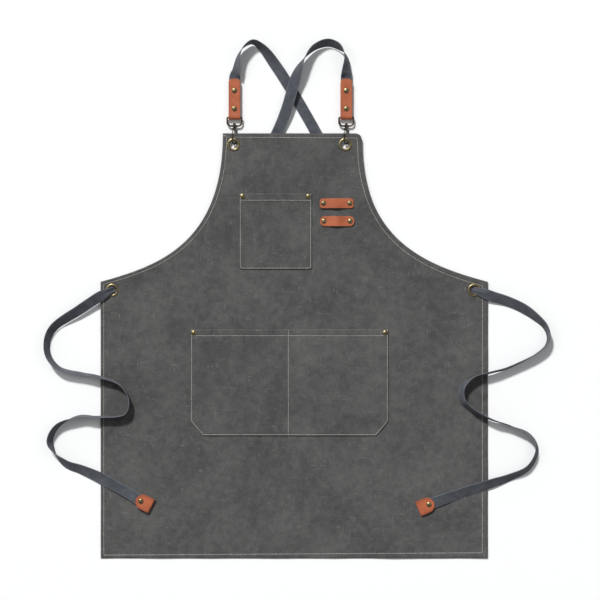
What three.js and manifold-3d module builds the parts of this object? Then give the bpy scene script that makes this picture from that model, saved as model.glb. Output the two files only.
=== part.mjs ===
// Cross-back canvas apron for a painter, laid flat and face up: two webbing straps run from leather
// shoulder tabs, cross behind the back, pass through the side grommets and end as waist ties.
// Millimetres. +X is to the right seen from the front, +Y towards the neck, +Z up off the surface.
// The origin is on the surface, below the middle of the apron with its shoulder tabs.
import * as THREE from "three";
import { mergeVertices } from "three/addons/utils/BufferGeometryUtils.js";
import Module from "manifold-3d";

const wasm = await Module();
wasm.setup();

// ---- Driving dimensions ----

const clearance = 0.2; // between pieces that lie on each other
const clothThickness = 0.8;

// Apron panel; its heights are measured from the bottom hem, its widths from the middle.
const apronWidth = 700;
const apronLength = 768;
const armholeHeight = 268; // from the end of the straight side edge to the bib's top
const sideLength = apronLength - armholeHeight; // from the bottom hem to the armhole
const bibLeft = 129;
const bibRight = 122.5;
const armholeSidePull = 110; // how far the armhole curve follows the side's slope
const armholeBibPull = 195; // and how far it follows the bib's straight edge
const armholeSlope = 0.267;
const bibCutWidth = 10; // corner cut off the bib's right top corner
const bibCutHeight = 12;
const hemWidth = 8;
const hemFold = 1.2; // what the turned-in hem adds on the back
const bibLift = 5.05; // how much higher the bib's top lies than the bottom hem
const outlineSteps = 12;
const panelRows = 10;

// Grommets: an eyelet from the front, rolled over a washer at the back.
const grommetHoleRadius = 7.4;
const grommetFlangeRadius = 11.8;
const grommetFlangeHeight = 0.9;
const barrelWall = 0.8;
const rollRadius = 9.8;
const rollHeight = 0.7;
const grommetEase = 0.4; // rounding of its flange and roll
const grommetFacets = 16;
const washerRadius = 11.4;
const washerThickness = 0.5;
const bibGrommetDrop = 20.5; // below the bib's top edge
const bibGrommetLeftInset = 19.4; // from the bib's left corner
const bibGrommetRightInset = 30.3;
const sideGrommetDrop = 15.5; // below the armhole's end
const sideGrommetLeftInset = 21;
const sideGrommetRightInset = 24.5;

// Double-cap rivets.
const rivetRadius = 4.7;
const rivetDome = 1.4;
const rivetRim = 0.4;
const rivetCrown = 0.6; // share of the radius where the dome turns flat
const rivetPost = 1.4;
const rivetBackHeight = 1.3; // on cloth and on the strap tips
const tabRivetBackHeight = 2.2;
const rivetFacets = 10;

// Pockets: place of the lower left corner from the middle and from the bottom hem. They keep
// their distance from the bib's top and the side edge's end, so the length changes the skirt only.
const chestPocket = {
  left: -99.5,
  low: apronLength - 245.5,
  width: 131.4,
  height: 137.2,
  cut: [3, 3], // off each lower corner
  bow: 7.5, // how far the middle of the mouth stands off the panel
  flatEdge: 11.9, // how far in from a side it lies flat on the panel
  columns: 11,
};
const hipPocket = {
  left: -187.8,
  low: sideLength - 278.5,
  width: 358.2,
  height: 193.1,
  cut: [22, 26],
  bow: 8.5,
  flatEdge: 15,
  columns: 24,
};
const dividerFlatEdge = 1.5;
const bowAcross = 0.7; // powers that make the bow full across the pocket and up to its mouth
const bowUp = 0.6;
const pocketRows = 5;
const pocketHem = 13; // folded mouth of a pocket
const pocketHemFold = 0.8;
const hipDivider = 177; // from the hip pocket's left edge
const chestRivetInset = [6.3, 5.6]; // from the pocket's side and its mouth
const hipRivetInset = [6.2, 6.9];

// Leather tool loops on the bib: middle from the apron's middle and from the bottom hem.
const toolLoops = [
  { name: "tool_loop_upper", x: 76.6, y: apronLength - 126.5, length: 61, width: 17.6, corner: 5 },
  { name: "tool_loop_lower", x: 77.4, y: apronLength - 158.7, length: 62, width: 18, corner: 8.5 },
];
const toolLoopRivetSpacing = 47.6;
const toolLoopLeather = 1.8;
const toolLoopArch = 6.5; // free height under the arch
const toolLoopSpan = 36; // length of the arch between the rivets
const toolLoopSteps = 30;

// Shoulder tabs: leather folded round the bar of the snap hook's loop.
const tabWidth = 21;
const tabLeather = 2.2;
const tabGap = 2; // between the leather's layers, for the strap
const tabCorner = 5;
const tabReach = 69.5; // from the loop's bar to the tab's end
const tabRivets = [15.4, 48]; // from the loop's bar
const tabLeftX = -108;
const tabRightX = 94;
const loopBarAboveBib = 29; // from the bib's top edge to the loop's bar

// Snap hooks: a wire loop with a swivel eye, and a claw with a sprung gate.
const loopWire = 1.5; // radius
const loopHalfWidth = 13;
const loopDrop = 15.5; // from the bar to the swivel eye
const loopTopCorner = 2.4;
const loopBottomCorner = 6.5;
const eyeRadius = 3.4;
const eyeHalfLength = 2.4;
const runningClearance = 0.3;
const postRadius = 1.4;
const postHead = { radius: 2.6, height: 1.8 };
const clawTilt = 44; // degrees that the claw's plane stands up from the surface
const clawWire = 1.3; // radius
const clawHalfWidth = 5.5;
const clawArcDrop = 27; // from the swivel eye to the middle of the claw's bend
const clawNoseDrop = 14;
// Where the wire starts inside the neck, leaves it, bends and runs straight, below the neck's end.
const clawShoulder = {
  start: { u: 1, drop: 1 },
  leave: { u: 2.8, drop: 2.2 },
  bend: 4.2,
  straight: 8,
};
const clawSteps = 22;
const loopSteps = 32;
const turnedFacets = 14; // round pieces of the hook
const pinFacets = 10;
const neckRadius = 2.9;
const neckDrop = 5.4;
const fork = { left: -4.6, right: 2.8, top: -4, bottom: -8.4, halfDepth: 2.2 };
const slot = { right: -0.5, top: -4.6, halfDepth: 1.15 };
const gatePin = { u: -2.6, v: -6.4, radius: 0.6 };
const gateEyeRadius = 1.6;
const gateLength = 6.3;
const gateLean = 22.5; // degrees that the shut gate leans out
const gateBarRadius = 0.95;
const springRadii = [0.85, 1.4];
const springDepth = [0.55, 0.95]; // along the pin
const springArm = 2.6;
const springWire = 0.45;
const wireFacets = 6;

// Straps: 20 mm webbing, and the leather tip on each one's end.
const strapWidth = 20;
const strapThickness = 1.2;
const strapEdge = 0.4; // rounding of its selvedges
const strapSteps = 78;
const tipWidth = 27;
const tipLength = 36;
const tipLeather = 1.6;
const tipGap = 2;
const tipRivetFromFold = 21.5;
const tipRadius = 13.5;

// ---- Levels and places that follow from the dimensions ----

const originY = (apronLength + loopBarAboveBib + tabReach) / 2;
const apronHalfWidth = apronWidth / 2;
const loopBarY = apronLength + loopBarAboveBib;
const tabThickness = 2 * tabLeather + tabGap;
const tabMiddle = tabRivetBackHeight + clearance + tabThickness / 2;

// Height of the panel's back face: the bib rises towards its top, where the straps pass below it.
function backHeight(y) {
  return hemFold + bibLift * (y / apronLength) ** 2;
}

function frontHeight(y) {
  return backHeight(y) + clothThickness;
}

// ---- Solids ----

function solidOf(geometry) {
  const bare = geometry.index ? geometry.toNonIndexed() : geometry.clone();
  bare.deleteAttribute("normal");
  bare.deleteAttribute("uv");
  const merged = mergeVertices(bare, 1e-4);
  return new wasm.Manifold(
    new wasm.Mesh({
      numProp: 3,
      vertProperties: new Float32Array(merged.getAttribute("position").array),
      triVerts: new Uint32Array(merged.index.array),
    }),
  );
}

function geometryOf(solid) {
  const mesh = solid.getMesh();
  const geometry = new THREE.BufferGeometry();
  geometry.setAttribute("position", new THREE.BufferAttribute(mesh.vertProperties, 3));
  geometry.setIndex(new THREE.BufferAttribute(mesh.triVerts, 1));
  geometry.computeVertexNormals();
  return geometry;
}

function circlePoints(radius, count) {
  return Array.from({ length: count }, (_, i) => {
    const angle = ((i + 0.5) / count) * 2 * Math.PI;
    return new THREE.Vector2(radius * Math.cos(angle), radius * Math.sin(angle));
  });
}

// A flat outline made into an upright prism from z = low to z = high.
function prism(points, low, high) {
  const geometry = new THREE.ExtrudeGeometry(new THREE.Shape(points), {
    depth: high - low,
    bevelEnabled: false,
  });
  return solidOf(geometry.translate(0, 0, low));
}

function block(x0, x1, y0, y1, z0, z1) {
  const geometry = new THREE.BoxGeometry(x1 - x0, y1 - y0, z1 - z0);
  return solidOf(geometry.translate((x0 + x1) / 2, (y0 + y1) / 2, (z0 + z1) / 2));
}

// Upright cylinder on the axis through (x, y).
function cylinder(radius, x, y, z0, z1, facets) {
  const geometry = new THREE.CylinderGeometry(radius, radius, z1 - z0, facets);
  return solidOf(geometry.rotateX(Math.PI / 2).translate(x, y, (z0 + z1) / 2));
}

// Cylinder along Y, centred on the Y axis.
function cylinderAlongY(radius, y0, y1, facets) {
  const geometry = new THREE.CylinderGeometry(radius, radius, y1 - y0, facets);
  return solidOf(geometry.translate(0, (y0 + y1) / 2, 0));
}

// Solid of revolution about the Z axis from [radius, height] pairs.
function turned(profile, facets) {
  const points = profile.map(([radius, height]) => new THREE.Vector2(radius, height));
  return solidOf(new THREE.LatheGeometry(points, facets).rotateX(Math.PI / 2));
}

// Round wire that follows a flat path.
function wire(path, radius, steps, facets) {
  const points = path.getSpacedPoints(steps).map((p) => new THREE.Vector3(p.x, p.y, 0));
  const geometry = new THREE.ExtrudeGeometry(new THREE.Shape(circlePoints(radius, facets)), {
    steps,
    bevelEnabled: false,
    extrudePath: new THREE.CatmullRomCurve3(points),
  });
  return solidOf(geometry);
}

// A layer over the rectangle x0..x1, y0..y1, between the heights under(x, y) and over(x, y).
function layer(x0, x1, y0, y1, columns, rows, under, over) {
  const geometry = new THREE.BoxGeometry(x1 - x0, y1 - y0, 2, columns, rows, 1);
  geometry.translate((x0 + x1) / 2, (y0 + y1) / 2, 0);
  const position = geometry.getAttribute("position");
  for (let i = 0; i < position.count; i++) {
    const x = position.getX(i);
    const y = position.getY(i);
    position.setZ(i, position.getZ(i) < 0 ? under(x, y) : over(x, y));
  }
  return solidOf(geometry);
}

// The outline moved inwards by a distance; its points run anticlockwise.
function inset(points, distance) {
  return points.map((point, i) => {
    const before = points[(i + points.length - 1) % points.length];
    const after = points[(i + 1) % points.length];
    const arriving = point.clone().sub(before).normalize();
    const leaving = after.clone().sub(point).normalize();
    const normalIn = new THREE.Vector2(-arriving.y, arriving.x);
    const normalOut = new THREE.Vector2(-leaving.y, leaving.x);
    const bisector = normalIn.clone().add(normalOut).normalize();
    return point.clone().addScaledVector(bisector, distance / bisector.dot(normalIn));
  });
}

// ---- The scene graph ----

const canvas = { color: 0x5d5a58, roughness: 0.9, metalness: 0 };
const leather = { color: 0xa8644a, roughness: 0.6, metalness: 0 };
const webbing = { color: 0x4d4e52, roughness: 0.85, metalness: 0 };
const brass = { color: 0x7d6a45, roughness: 0.35, metalness: 0.9 };
const darkBrass = { color: 0x4b4335, roughness: 0.35, metalness: 0.9 };

const root = new THREE.Group();
const apron = new THREE.Group(); // everything that is measured from the bottom hem
apron.position.y = -originY;
root.add(apron);

function addPiece(parent, name, solid, finish) {
  const mesh = new THREE.Mesh(geometryOf(solid), new THREE.MeshStandardMaterial(finish));
  mesh.name = name;
  parent.add(mesh);
  return mesh;
}

// ---- Rivets ----

const sides = ["left", "right"];
const tall = 100; // beyond every height, for cutters
const rivetHoleRadius = rivetPost + clearance;
const panelRivets = []; // [x, y] of every rivet through the panel

function drilled(solid, places, radius, facets) {
  return places.reduce(
    (cut, [x, y]) => cut.subtract(cylinder(radius, x, y, -tall, tall, facets)),
    solid,
  );
}

// A double-cap rivet at (x, y) through the layers from z = low to z = high.
function addRivet(parent, name, [x, y], [low, high], backHeightOfCap) {
  const rivet = new THREE.Group();
  rivet.position.set(x, y, 0);
  parent.add(rivet);
  const seat = high + clearance;
  const backSeat = low - clearance;
  const socketFloor = backSeat - backHeightOfCap + rivetRim;
  const post = socketFloor + clearance;
  const cap = [
    [0, seat + rivetDome],
    [rivetRadius * rivetCrown, seat + rivetDome * 0.85],
    [rivetRadius, seat + rivetRim],
    [rivetRadius, seat],
    [rivetPost, seat],
    [rivetPost, post],
    [0, post],
  ];
  const back = [
    [0, socketFloor],
    [rivetHoleRadius, socketFloor],
    [rivetHoleRadius, backSeat],
    [rivetRadius, backSeat],
    [rivetRadius, backSeat - rivetRim],
    [rivetRadius * rivetCrown, backSeat - backHeightOfCap],
    [0, backSeat - backHeightOfCap],
  ];
  addPiece(rivet, name + "_cap", turned(cap.reverse(), rivetFacets), brass);
  addPiece(rivet, name + "_back", turned(back.reverse(), rivetFacets), brass);
}

// ---- Grommets ----

const grommets = [
  { name: "bib_grommet_left", x: bibGrommetLeftInset - bibLeft, y: apronLength - bibGrommetDrop },
  { name: "bib_grommet_right", x: bibRight - bibGrommetRightInset, y: apronLength - bibGrommetDrop },
  {
    name: "side_grommet_left",
    x: sideGrommetLeftInset - apronHalfWidth,
    y: sideLength - sideGrommetDrop,
  },
  {
    name: "side_grommet_right",
    x: apronHalfWidth - sideGrommetRightInset,
    y: sideLength - sideGrommetDrop,
  },
];
const barrelRadius = grommetHoleRadius + barrelWall;

for (const { name, x, y } of grommets) {
  const grommet = new THREE.Group();
  grommet.position.set(x, y, frontHeight(y));
  apron.add(grommet);
  const back = -clothThickness;
  const washerTop = back - clearance;
  const washerLow = washerTop - washerThickness;
  const rollTop = washerLow - clearance;
  const rollLow = rollTop - rollHeight;
  const crest = clearance + grommetFlangeHeight;
  const eyelet = [
    [barrelRadius, clearance],
    [grommetFlangeRadius, clearance],
    [grommetFlangeRadius - grommetEase / 2, clearance + grommetEase],
    [(grommetHoleRadius + grommetFlangeRadius) / 2, crest],
    [grommetHoleRadius + grommetEase, crest - grommetEase / 2],
    [grommetHoleRadius, clearance],
    [grommetHoleRadius, rollTop],
    [barrelRadius, rollLow],
    [barrelRadius + grommetEase, rollLow],
    [rollRadius, rollTop - grommetEase],
    [rollRadius, rollTop],
    [barrelRadius, rollTop],
    [barrelRadius, clearance],
  ];
  const washer = [
    [barrelRadius + clearance, washerTop],
    [barrelRadius + clearance, washerLow],
    [washerRadius, washerLow],
    [washerRadius, washerTop],
    [barrelRadius + clearance, washerTop],
  ];
  addPiece(grommet, name + "_eyelet", turned(eyelet, grommetFacets), brass);
  addPiece(grommet, name + "_washer", turned(washer, grommetFacets), brass);
}

// ---- Pockets ----

// How far the pocket stands off the panel: along its stitched edges it lies flat, and between them
// it bows out towards the mouth. A divider seam holds it down as an edge does.
function pocketBow(pocket, divider, x, y) {
  const across = x - pocket.left;
  const pastDivider = across >= divider;
  const divided = divider < pocket.width;
  const cellStart = pastDivider ? divider + dividerFlatEdge : pocket.flatEdge;
  const cellEnd = divided && !pastDivider ? divider - dividerFlatEdge : pocket.width - pocket.flatEdge;
  const u = THREE.MathUtils.clamp((across - cellStart) / (cellEnd - cellStart), 0, 1);
  const v = THREE.MathUtils.clamp((y - pocket.low) / pocket.height, 0, 1);
  return pocket.bow * Math.sin(Math.PI * u) ** bowAcross * v ** bowUp;
}

function pocketOutline({ left, low, width, height, cut }) {
  const right = left + width;
  const top = low + height;
  const [cutWidth, cutHeight] = cut;
  return [
    [left + cutWidth, low],
    [right - cutWidth, low],
    [right, low + cutHeight],
    [right, top],
    [left, top],
    [left, low + cutHeight],
  ].map(([x, y]) => new THREE.Vector2(x, y));
}

function pocketRivets(pocket, [fromSide, fromMouth]) {
  const y = pocket.low + pocket.height - fromMouth;
  return [
    [pocket.left + fromSide, y],
    [pocket.left + pocket.width - fromSide, y],
  ];
}

function addPocket(name, pocket, divider, rivetInset) {
  const { left, low, width, height, columns } = pocket;
  const under = (x, y) => frontHeight(y) + clearance + pocketBow(pocket, divider, x, y);
  const over = (x, y) => under(x, y) + clothThickness;
  const hemUnder = (x, y) => under(x, y) - Math.min(pocketHemFold, pocketBow(pocket, divider, x, y));
  const hemOver = (x, y) => under(x, y) + clothThickness / 2;
  const right = left + width;
  const top = low + height;
  const sheet = layer(left, right, low, top, columns, pocketRows, under, over);
  const mouth = layer(left, right, top - pocketHem, top, columns, 1, hemUnder, hemOver);
  const rivets = pocketRivets(pocket, rivetInset);
  const cloth = sheet.add(mouth).intersect(prism(pocketOutline(pocket), 0, tall));
  addPiece(apron, name, drilled(cloth, rivets, rivetHoleRadius, rivetFacets), canvas);
  rivets.forEach(([x, y], i) => {
    const rivetName = name + "_rivet_" + sides[i];
    addRivet(apron, rivetName, [x, y], [backHeight(y), over(x, y)], rivetBackHeight);
    panelRivets.push([x, y]);
  });
}

addPocket("chest_pocket", chestPocket, chestPocket.width, chestRivetInset);
addPocket("hip_pocket", hipPocket, hipDivider, hipRivetInset);

// ---- Tool loops ----

function roundedRectangle(x0, x1, y0, y1, corner) {
  const shape = new THREE.Shape();
  shape.moveTo(x0 + corner, y0);
  shape.lineTo(x1 - corner, y0);
  shape.absarc(x1 - corner, y0 + corner, corner, -Math.PI / 2, 0);
  shape.lineTo(x1, y1 - corner);
  shape.absarc(x1 - corner, y1 - corner, corner, 0, Math.PI / 2);
  shape.lineTo(x0 + corner, y1);
  shape.absarc(x0 + corner, y1 - corner, corner, Math.PI / 2, Math.PI);
  shape.lineTo(x0, y0 + corner);
  shape.absarc(x0 + corner, y0 + corner, corner, Math.PI, 1.5 * Math.PI);
  return withoutDoubles(shape.getPoints(3));
}

function withoutDoubles(points) {
  return points.filter((point, i) => {
    const next = points[(i + 1) % points.length];
    return point.distanceTo(next) > 1e-3;
  });
}

for (const { name, x, y, length, width, corner } of toolLoops) {
  const arch = (across) =>
    Math.abs(across) < toolLoopSpan / 2
      ? (toolLoopArch * (1 + Math.cos((2 * Math.PI * across) / toolLoopSpan))) / 2
      : 0;
  const level = frontHeight(y + width / 2) + clearance;
  const under = (px) => level + arch(px - x);
  const over = (px) => under(px) + toolLoopLeather;
  const x0 = x - length / 2;
  const y0 = y - width / 2;
  const band = layer(x0, x0 + length, y0, y0 + width, toolLoopSteps, 1, under, over);
  const outline = roundedRectangle(x0, x0 + length, y0, y0 + width, corner);
  const rivets = [-1, 1].map((side) => [x + (side * toolLoopRivetSpacing) / 2, y]);
  const strip = band.intersect(prism(outline, 0, tall));
  addPiece(apron, name, drilled(strip, rivets, rivetHoleRadius, rivetFacets), leather);
  rivets.forEach(([rivetX, rivetY], i) => {
    const rivetName = name + "_rivet_" + sides[i];
    const layers = [backHeight(rivetY), level + toolLoopLeather];
    addRivet(apron, rivetName, [rivetX, rivetY], layers, rivetBackHeight);
    panelRivets.push([rivetX, rivetY]);
  });
}

// ---- Apron panel ----

function panelOutline() {
  const armholeTop = apronLength - armholeBibPull;
  const armholeStart = sideLength + armholeSlope * armholeSidePull;
  const shape = new THREE.Shape();
  shape.moveTo(-apronHalfWidth, 0);
  shape.lineTo(apronHalfWidth, 0);
  shape.lineTo(apronHalfWidth, sideLength);
  shape.bezierCurveTo(
    apronHalfWidth - armholeSidePull,
    armholeStart,
    bibRight,
    armholeTop,
    bibRight,
    apronLength - bibCutHeight,
  );
  shape.lineTo(bibRight - bibCutWidth, apronLength);
  shape.lineTo(-bibLeft, apronLength);
  shape.bezierCurveTo(
    -bibLeft,
    armholeTop,
    armholeSidePull - apronHalfWidth,
    armholeStart,
    -apronHalfWidth,
    sideLength,
  );
  return withoutDoubles(shape.getPoints(outlineSteps));
}

const outline = panelOutline();
const reach = apronHalfWidth + 1;
const panelLayer = (under, over) => layer(-reach, reach, 0, apronLength, 1, panelRows, under, over);
const sheet = panelLayer(
  (x, y) => backHeight(y),
  (x, y) => frontHeight(y),
);
const turnedIn = panelLayer(
  (x, y) => backHeight(y) - hemFold,
  (x, y) => backHeight(y) + clothThickness / 2,
);
const wholePanel = prism(outline, -tall, tall);
const hemBand = wholePanel.subtract(prism(inset(outline, hemWidth), -tall - 1, tall + 1));
const plainPanel = sheet.intersect(wholePanel).add(turnedIn.intersect(hemBand));
const eyeletPlaces = grommets.map(({ x, y }) => [x, y]);
const panel = drilled(
  drilled(plainPanel, eyeletPlaces, barrelRadius + clearance, grommetFacets),
  panelRivets,
  rivetHoleRadius,
  rivetFacets,
);
addPiece(apron, "apron_panel", panel, canvas);

// ---- Shoulder tabs ----

// Side view of the folded strip: y runs from the loop's bar to the tab's end, z is its thickness.
function tabProfile() {
  const barRoom = loopWire + runningClearance;
  const outer = barRoom + tabLeather;
  const half = tabThickness / 2;
  const profile = new THREE.Shape();
  profile.moveTo(tabReach, half);
  profile.lineTo(outer * 1.6, half);
  profile.absarc(0, 0, outer, Math.PI / 2, 1.5 * Math.PI);
  profile.lineTo(outer * 1.6, -half);
  profile.lineTo(tabReach, -half);
  profile.lineTo(tabReach, -tabGap / 2);
  profile.lineTo(barRoom * 1.8, -tabGap / 2);
  profile.absarc(0, 0, barRoom, 1.5 * Math.PI, Math.PI / 2, true);
  profile.lineTo(barRoom * 1.8, tabGap / 2);
  profile.lineTo(tabReach, tabGap / 2);
  return withoutDoubles(profile.getPoints(5));
}

// The profile pushed across the tab's width, with its Y and Z as the tab's.
function acrossX(points, width) {
  const geometry = new THREE.ExtrudeGeometry(new THREE.Shape(points), {
    depth: width,
    bevelEnabled: false,
  });
  geometry.translate(0, 0, -width / 2);
  // (x, y, z) to (z, x, y): the profile's first axis becomes Y, its second Z, its depth X.
  geometry.applyMatrix4(new THREE.Matrix4().set(0, 0, 1, 0, 1, 0, 0, 0, 0, 1, 0, 0, 0, 0, 0, 1));
  return solidOf(geometry);
}

function tabOutline() {
  const half = tabWidth / 2;
  const low = -loopWire - runningClearance - tabLeather - 1;
  const shape = new THREE.Shape();
  shape.moveTo(-half, low);
  shape.lineTo(half, low);
  shape.lineTo(half, tabReach - tabCorner);
  shape.absarc(half - tabCorner, tabReach - tabCorner, tabCorner, 0, Math.PI / 2);
  shape.absarc(tabCorner - half, tabReach - tabCorner, tabCorner, Math.PI / 2, Math.PI);
  return withoutDoubles(shape.getPoints(4));
}

const foldedTab = acrossX(tabProfile(), tabWidth + 2).intersect(prism(tabOutline(), -tall, tall));
const tabRivetPlaces = tabRivets.map((y) => [0, y]);
const tabSolid = drilled(foldedTab, tabRivetPlaces, rivetHoleRadius, rivetFacets);

// ---- Snap hooks ----

function loopSolid() {
  const path = new THREE.Path();
  const insideEye = (postRadius + runningClearance + eyeRadius) / 2;
  path.moveTo(-insideEye, -loopDrop);
  path.lineTo(loopBottomCorner - loopHalfWidth, -loopDrop);
  path.absarc(
    loopBottomCorner - loopHalfWidth,
    loopBottomCorner - loopDrop,
    loopBottomCorner,
    1.5 * Math.PI,
    Math.PI,
    true,
  );
  path.absarc(loopTopCorner - loopHalfWidth, -loopTopCorner, loopTopCorner, Math.PI, Math.PI / 2, true);
  path.absarc(loopHalfWidth - loopTopCorner, -loopTopCorner, loopTopCorner, Math.PI / 2, 0, true);
  path.absarc(
    loopHalfWidth - loopBottomCorner,
    loopBottomCorner - loopDrop,
    loopBottomCorner,
    0,
    -Math.PI / 2,
    true,
  );
  path.lineTo(insideEye, -loopDrop);
  const eyeTop = -loopDrop + eyeHalfLength;
  const eye = cylinderAlongY(eyeRadius, -loopDrop - eyeHalfLength, eyeTop, turnedFacets);
  const bore = cylinderAlongY(postRadius + runningClearance, -tall, tall, turnedFacets);
  return wire(path, loopWire, loopSteps, wireFacets).add(eye).subtract(bore);
}

// The claw lies in the plane z = 0 with its swivel axis on Y; the gate closes its left leg.
function clawSolid() {
  const { start, leave, bend, straight } = clawShoulder;
  const path = new THREE.Path();
  path.moveTo(start.u, -neckDrop - start.drop);
  path.lineTo(leave.u, -neckDrop - leave.drop);
  path.quadraticCurveTo(clawHalfWidth, -neckDrop - bend, clawHalfWidth, -neckDrop - straight);
  path.lineTo(clawHalfWidth, -clawArcDrop);
  path.absarc(0, -clawArcDrop, clawHalfWidth, 0, -Math.PI, true);
  path.lineTo(-clawHalfWidth, -clawNoseDrop);
  const postTop = eyeHalfLength + runningClearance;
  const headTop = postTop + postHead.height;
  const post = cylinderAlongY(postRadius, -neckDrop, headTop, turnedFacets);
  const head = cylinderAlongY(postHead.radius, postTop, headTop, turnedFacets);
  const neck = cylinderAlongY(neckRadius, -neckDrop, -postTop, turnedFacets);
  const { left, right, top, bottom, halfDepth } = fork;
  const cheeks = block(left, right, bottom, top, -halfDepth, halfDepth);
  const gateSlot = block(left - 1, slot.right, bottom - 1, slot.top, -slot.halfDepth, slot.halfDepth);
  const pinHole = cylinder(gatePin.radius + clearance, gatePin.u, gatePin.v, -tall, tall, pinFacets);
  return post
    .add(head)
    .add(neck)
    .add(cheeks)
    .add(wire(path, clawWire, clawSteps, wireFacets))
    .subtract(gateSlot)
    .subtract(pinHole);
}

// The gate hangs on its pin, with the pin's axis along Z at the origin.
function gateSolid() {
  const eyeTop = springDepth[0] - clearance;
  const eye = cylinder(gateEyeRadius, 0, 0, clearance - slot.halfDepth, eyeTop, turnedFacets);
  const bar = new THREE.CapsuleGeometry(gateBarRadius, gateLength, 4, 10);
  bar.translate(0, -gateLength / 2, 0).rotateZ(THREE.MathUtils.degToRad(-gateLean));
  const springRoom = cylinder(gateEyeRadius + clearance, 0, 0, eyeTop, tall, turnedFacets);
  const pinHole = cylinder(gatePin.radius + clearance, 0, 0, -tall, tall, pinFacets);
  return solidOf(bar).subtract(springRoom).add(eye).subtract(pinHole);
}

// Torsion spring round the gate's pin, with its arm along the claw's slot.
function springSolid() {
  const [inner, outer] = springRadii;
  const [low, high] = springDepth;
  const hole = cylinder(inner, 0, 0, -tall, tall, turnedFacets);
  const arm = block(outer - springWire, outer, -springArm, 0, low, high);
  return cylinder(outer, 0, 0, low, high, turnedFacets).subtract(hole).add(arm);
}

const loop = loopSolid();
const claw = clawSolid();
const gate = gateSolid();
const spring = springSolid();
const pinHalf = fork.halfDepth - clearance;
const pin = cylinder(gatePin.radius, 0, 0, -pinHalf, pinHalf, pinFacets);

for (const side of sides) {
  const x = side === "left" ? tabLeftX : tabRightX;
  const shoulder = new THREE.Group();
  shoulder.position.set(x, loopBarY, tabMiddle);
  apron.add(shoulder);
  addPiece(shoulder, "shoulder_tab_" + side, tabSolid, leather);
  tabRivetPlaces.forEach(([rivetX, rivetY], i) => {
    const name = "tab_rivet_" + side + "_" + ["lower", "upper"][i];
    const half = tabThickness / 2;
    addRivet(shoulder, name, [rivetX, rivetY], [-half, half], tabRivetBackHeight);
  });
  addPiece(shoulder, "hook_loop_" + side, loop, darkBrass);
  const swivel = new THREE.Group();
  swivel.position.y = -loopDrop;
  swivel.rotation.y = THREE.MathUtils.degToRad(clawTilt);
  shoulder.add(swivel);
  addPiece(swivel, "hook_claw_" + side, claw, darkBrass);
  const pivot = new THREE.Group();
  pivot.position.set(gatePin.u, gatePin.v, 0);
  swivel.add(pivot);
  addPiece(pivot, "hook_gate_" + side, gate, darkBrass);
  addPiece(pivot, "gate_pin_" + side, pin, darkBrass);
  addPiece(pivot, "gate_spring_" + side, spring, darkBrass);
}

// ---- Straps ----

// Each row is x, y, the lowest edge's height, the roll in degrees (0 flat, 90 on edge) and how far
// the webbing is drawn in, from the shoulder tab to the tie's tip, in the finished part's own frame.
const leftStrapRoute = [
  [-108, 406, 5, 0, 1],
  [-107.5, 435, 5, 0, 1],
  [-105, 445, 2, -28, 1],
  [-100, 474, 0.1, -84, 1],
  [-92, 489, 0.1, -74, 1],
  [-75, 499, 0.1, -55, 1],
  [-59, 490, 0.1, -50, 1],
  [-31, 454, 0.1, -2, 1],
  [3, 400, 0.1, 0, 1],
  [48, 321, 0.1, 0, 1],
  [138, 154, 0.1, 0, 1],
  [226, 86, 0.1, 0, 1],
  [306, 56.5, 0.1, 0, 0.7],
  [319.5, 53, 0.1, 0, 0.46],
  [331.5, 49.5, 5.35, 0, 0.46],
  [341, 46.5, 5.4, 0, 0.75],
  [355, 41, 4.2, 0, 1],
  [384, 32, 0.3, -3, 1],
  [413, 19, 0.1, -12, 1],
  [436, 3, 0.1, -35, 1],
  [453, -14, 0.1, -62, 1],
  [459, -32, 0.1, -76, 1],
  [452, -51, 0.1, -82, 1],
  [388, -88, 0.1, -92, 1],
  [355, -97, 3.3, -95, 1],
  [322, -106, 3.2, -102, 1],
  [303, -124, 3.2, -115, 1],
  [304, -148, 3.2, -112, 1],
  [323, -165, 3.1, -100, 1],
  [356, -182, 3, -92, 1],
  [389, -193, 0.1, -88, 1],
  [424, -209, 0.1, -76, 1],
  [438, -235, 0.1, -64, 1],
  [424, -268, 0.1, -44, 1],
  [388, -287, 0.2, -12, 1],
  [356, -297.5, 2.4, 0, 1],
  [300, -315, 2.5, 0, 1],
  [261, -329, 5.8, 0, 1],
  [247, -334, 5.8, 0, 1],
  [226, -343, 5.8, 0, 1],
];
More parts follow.
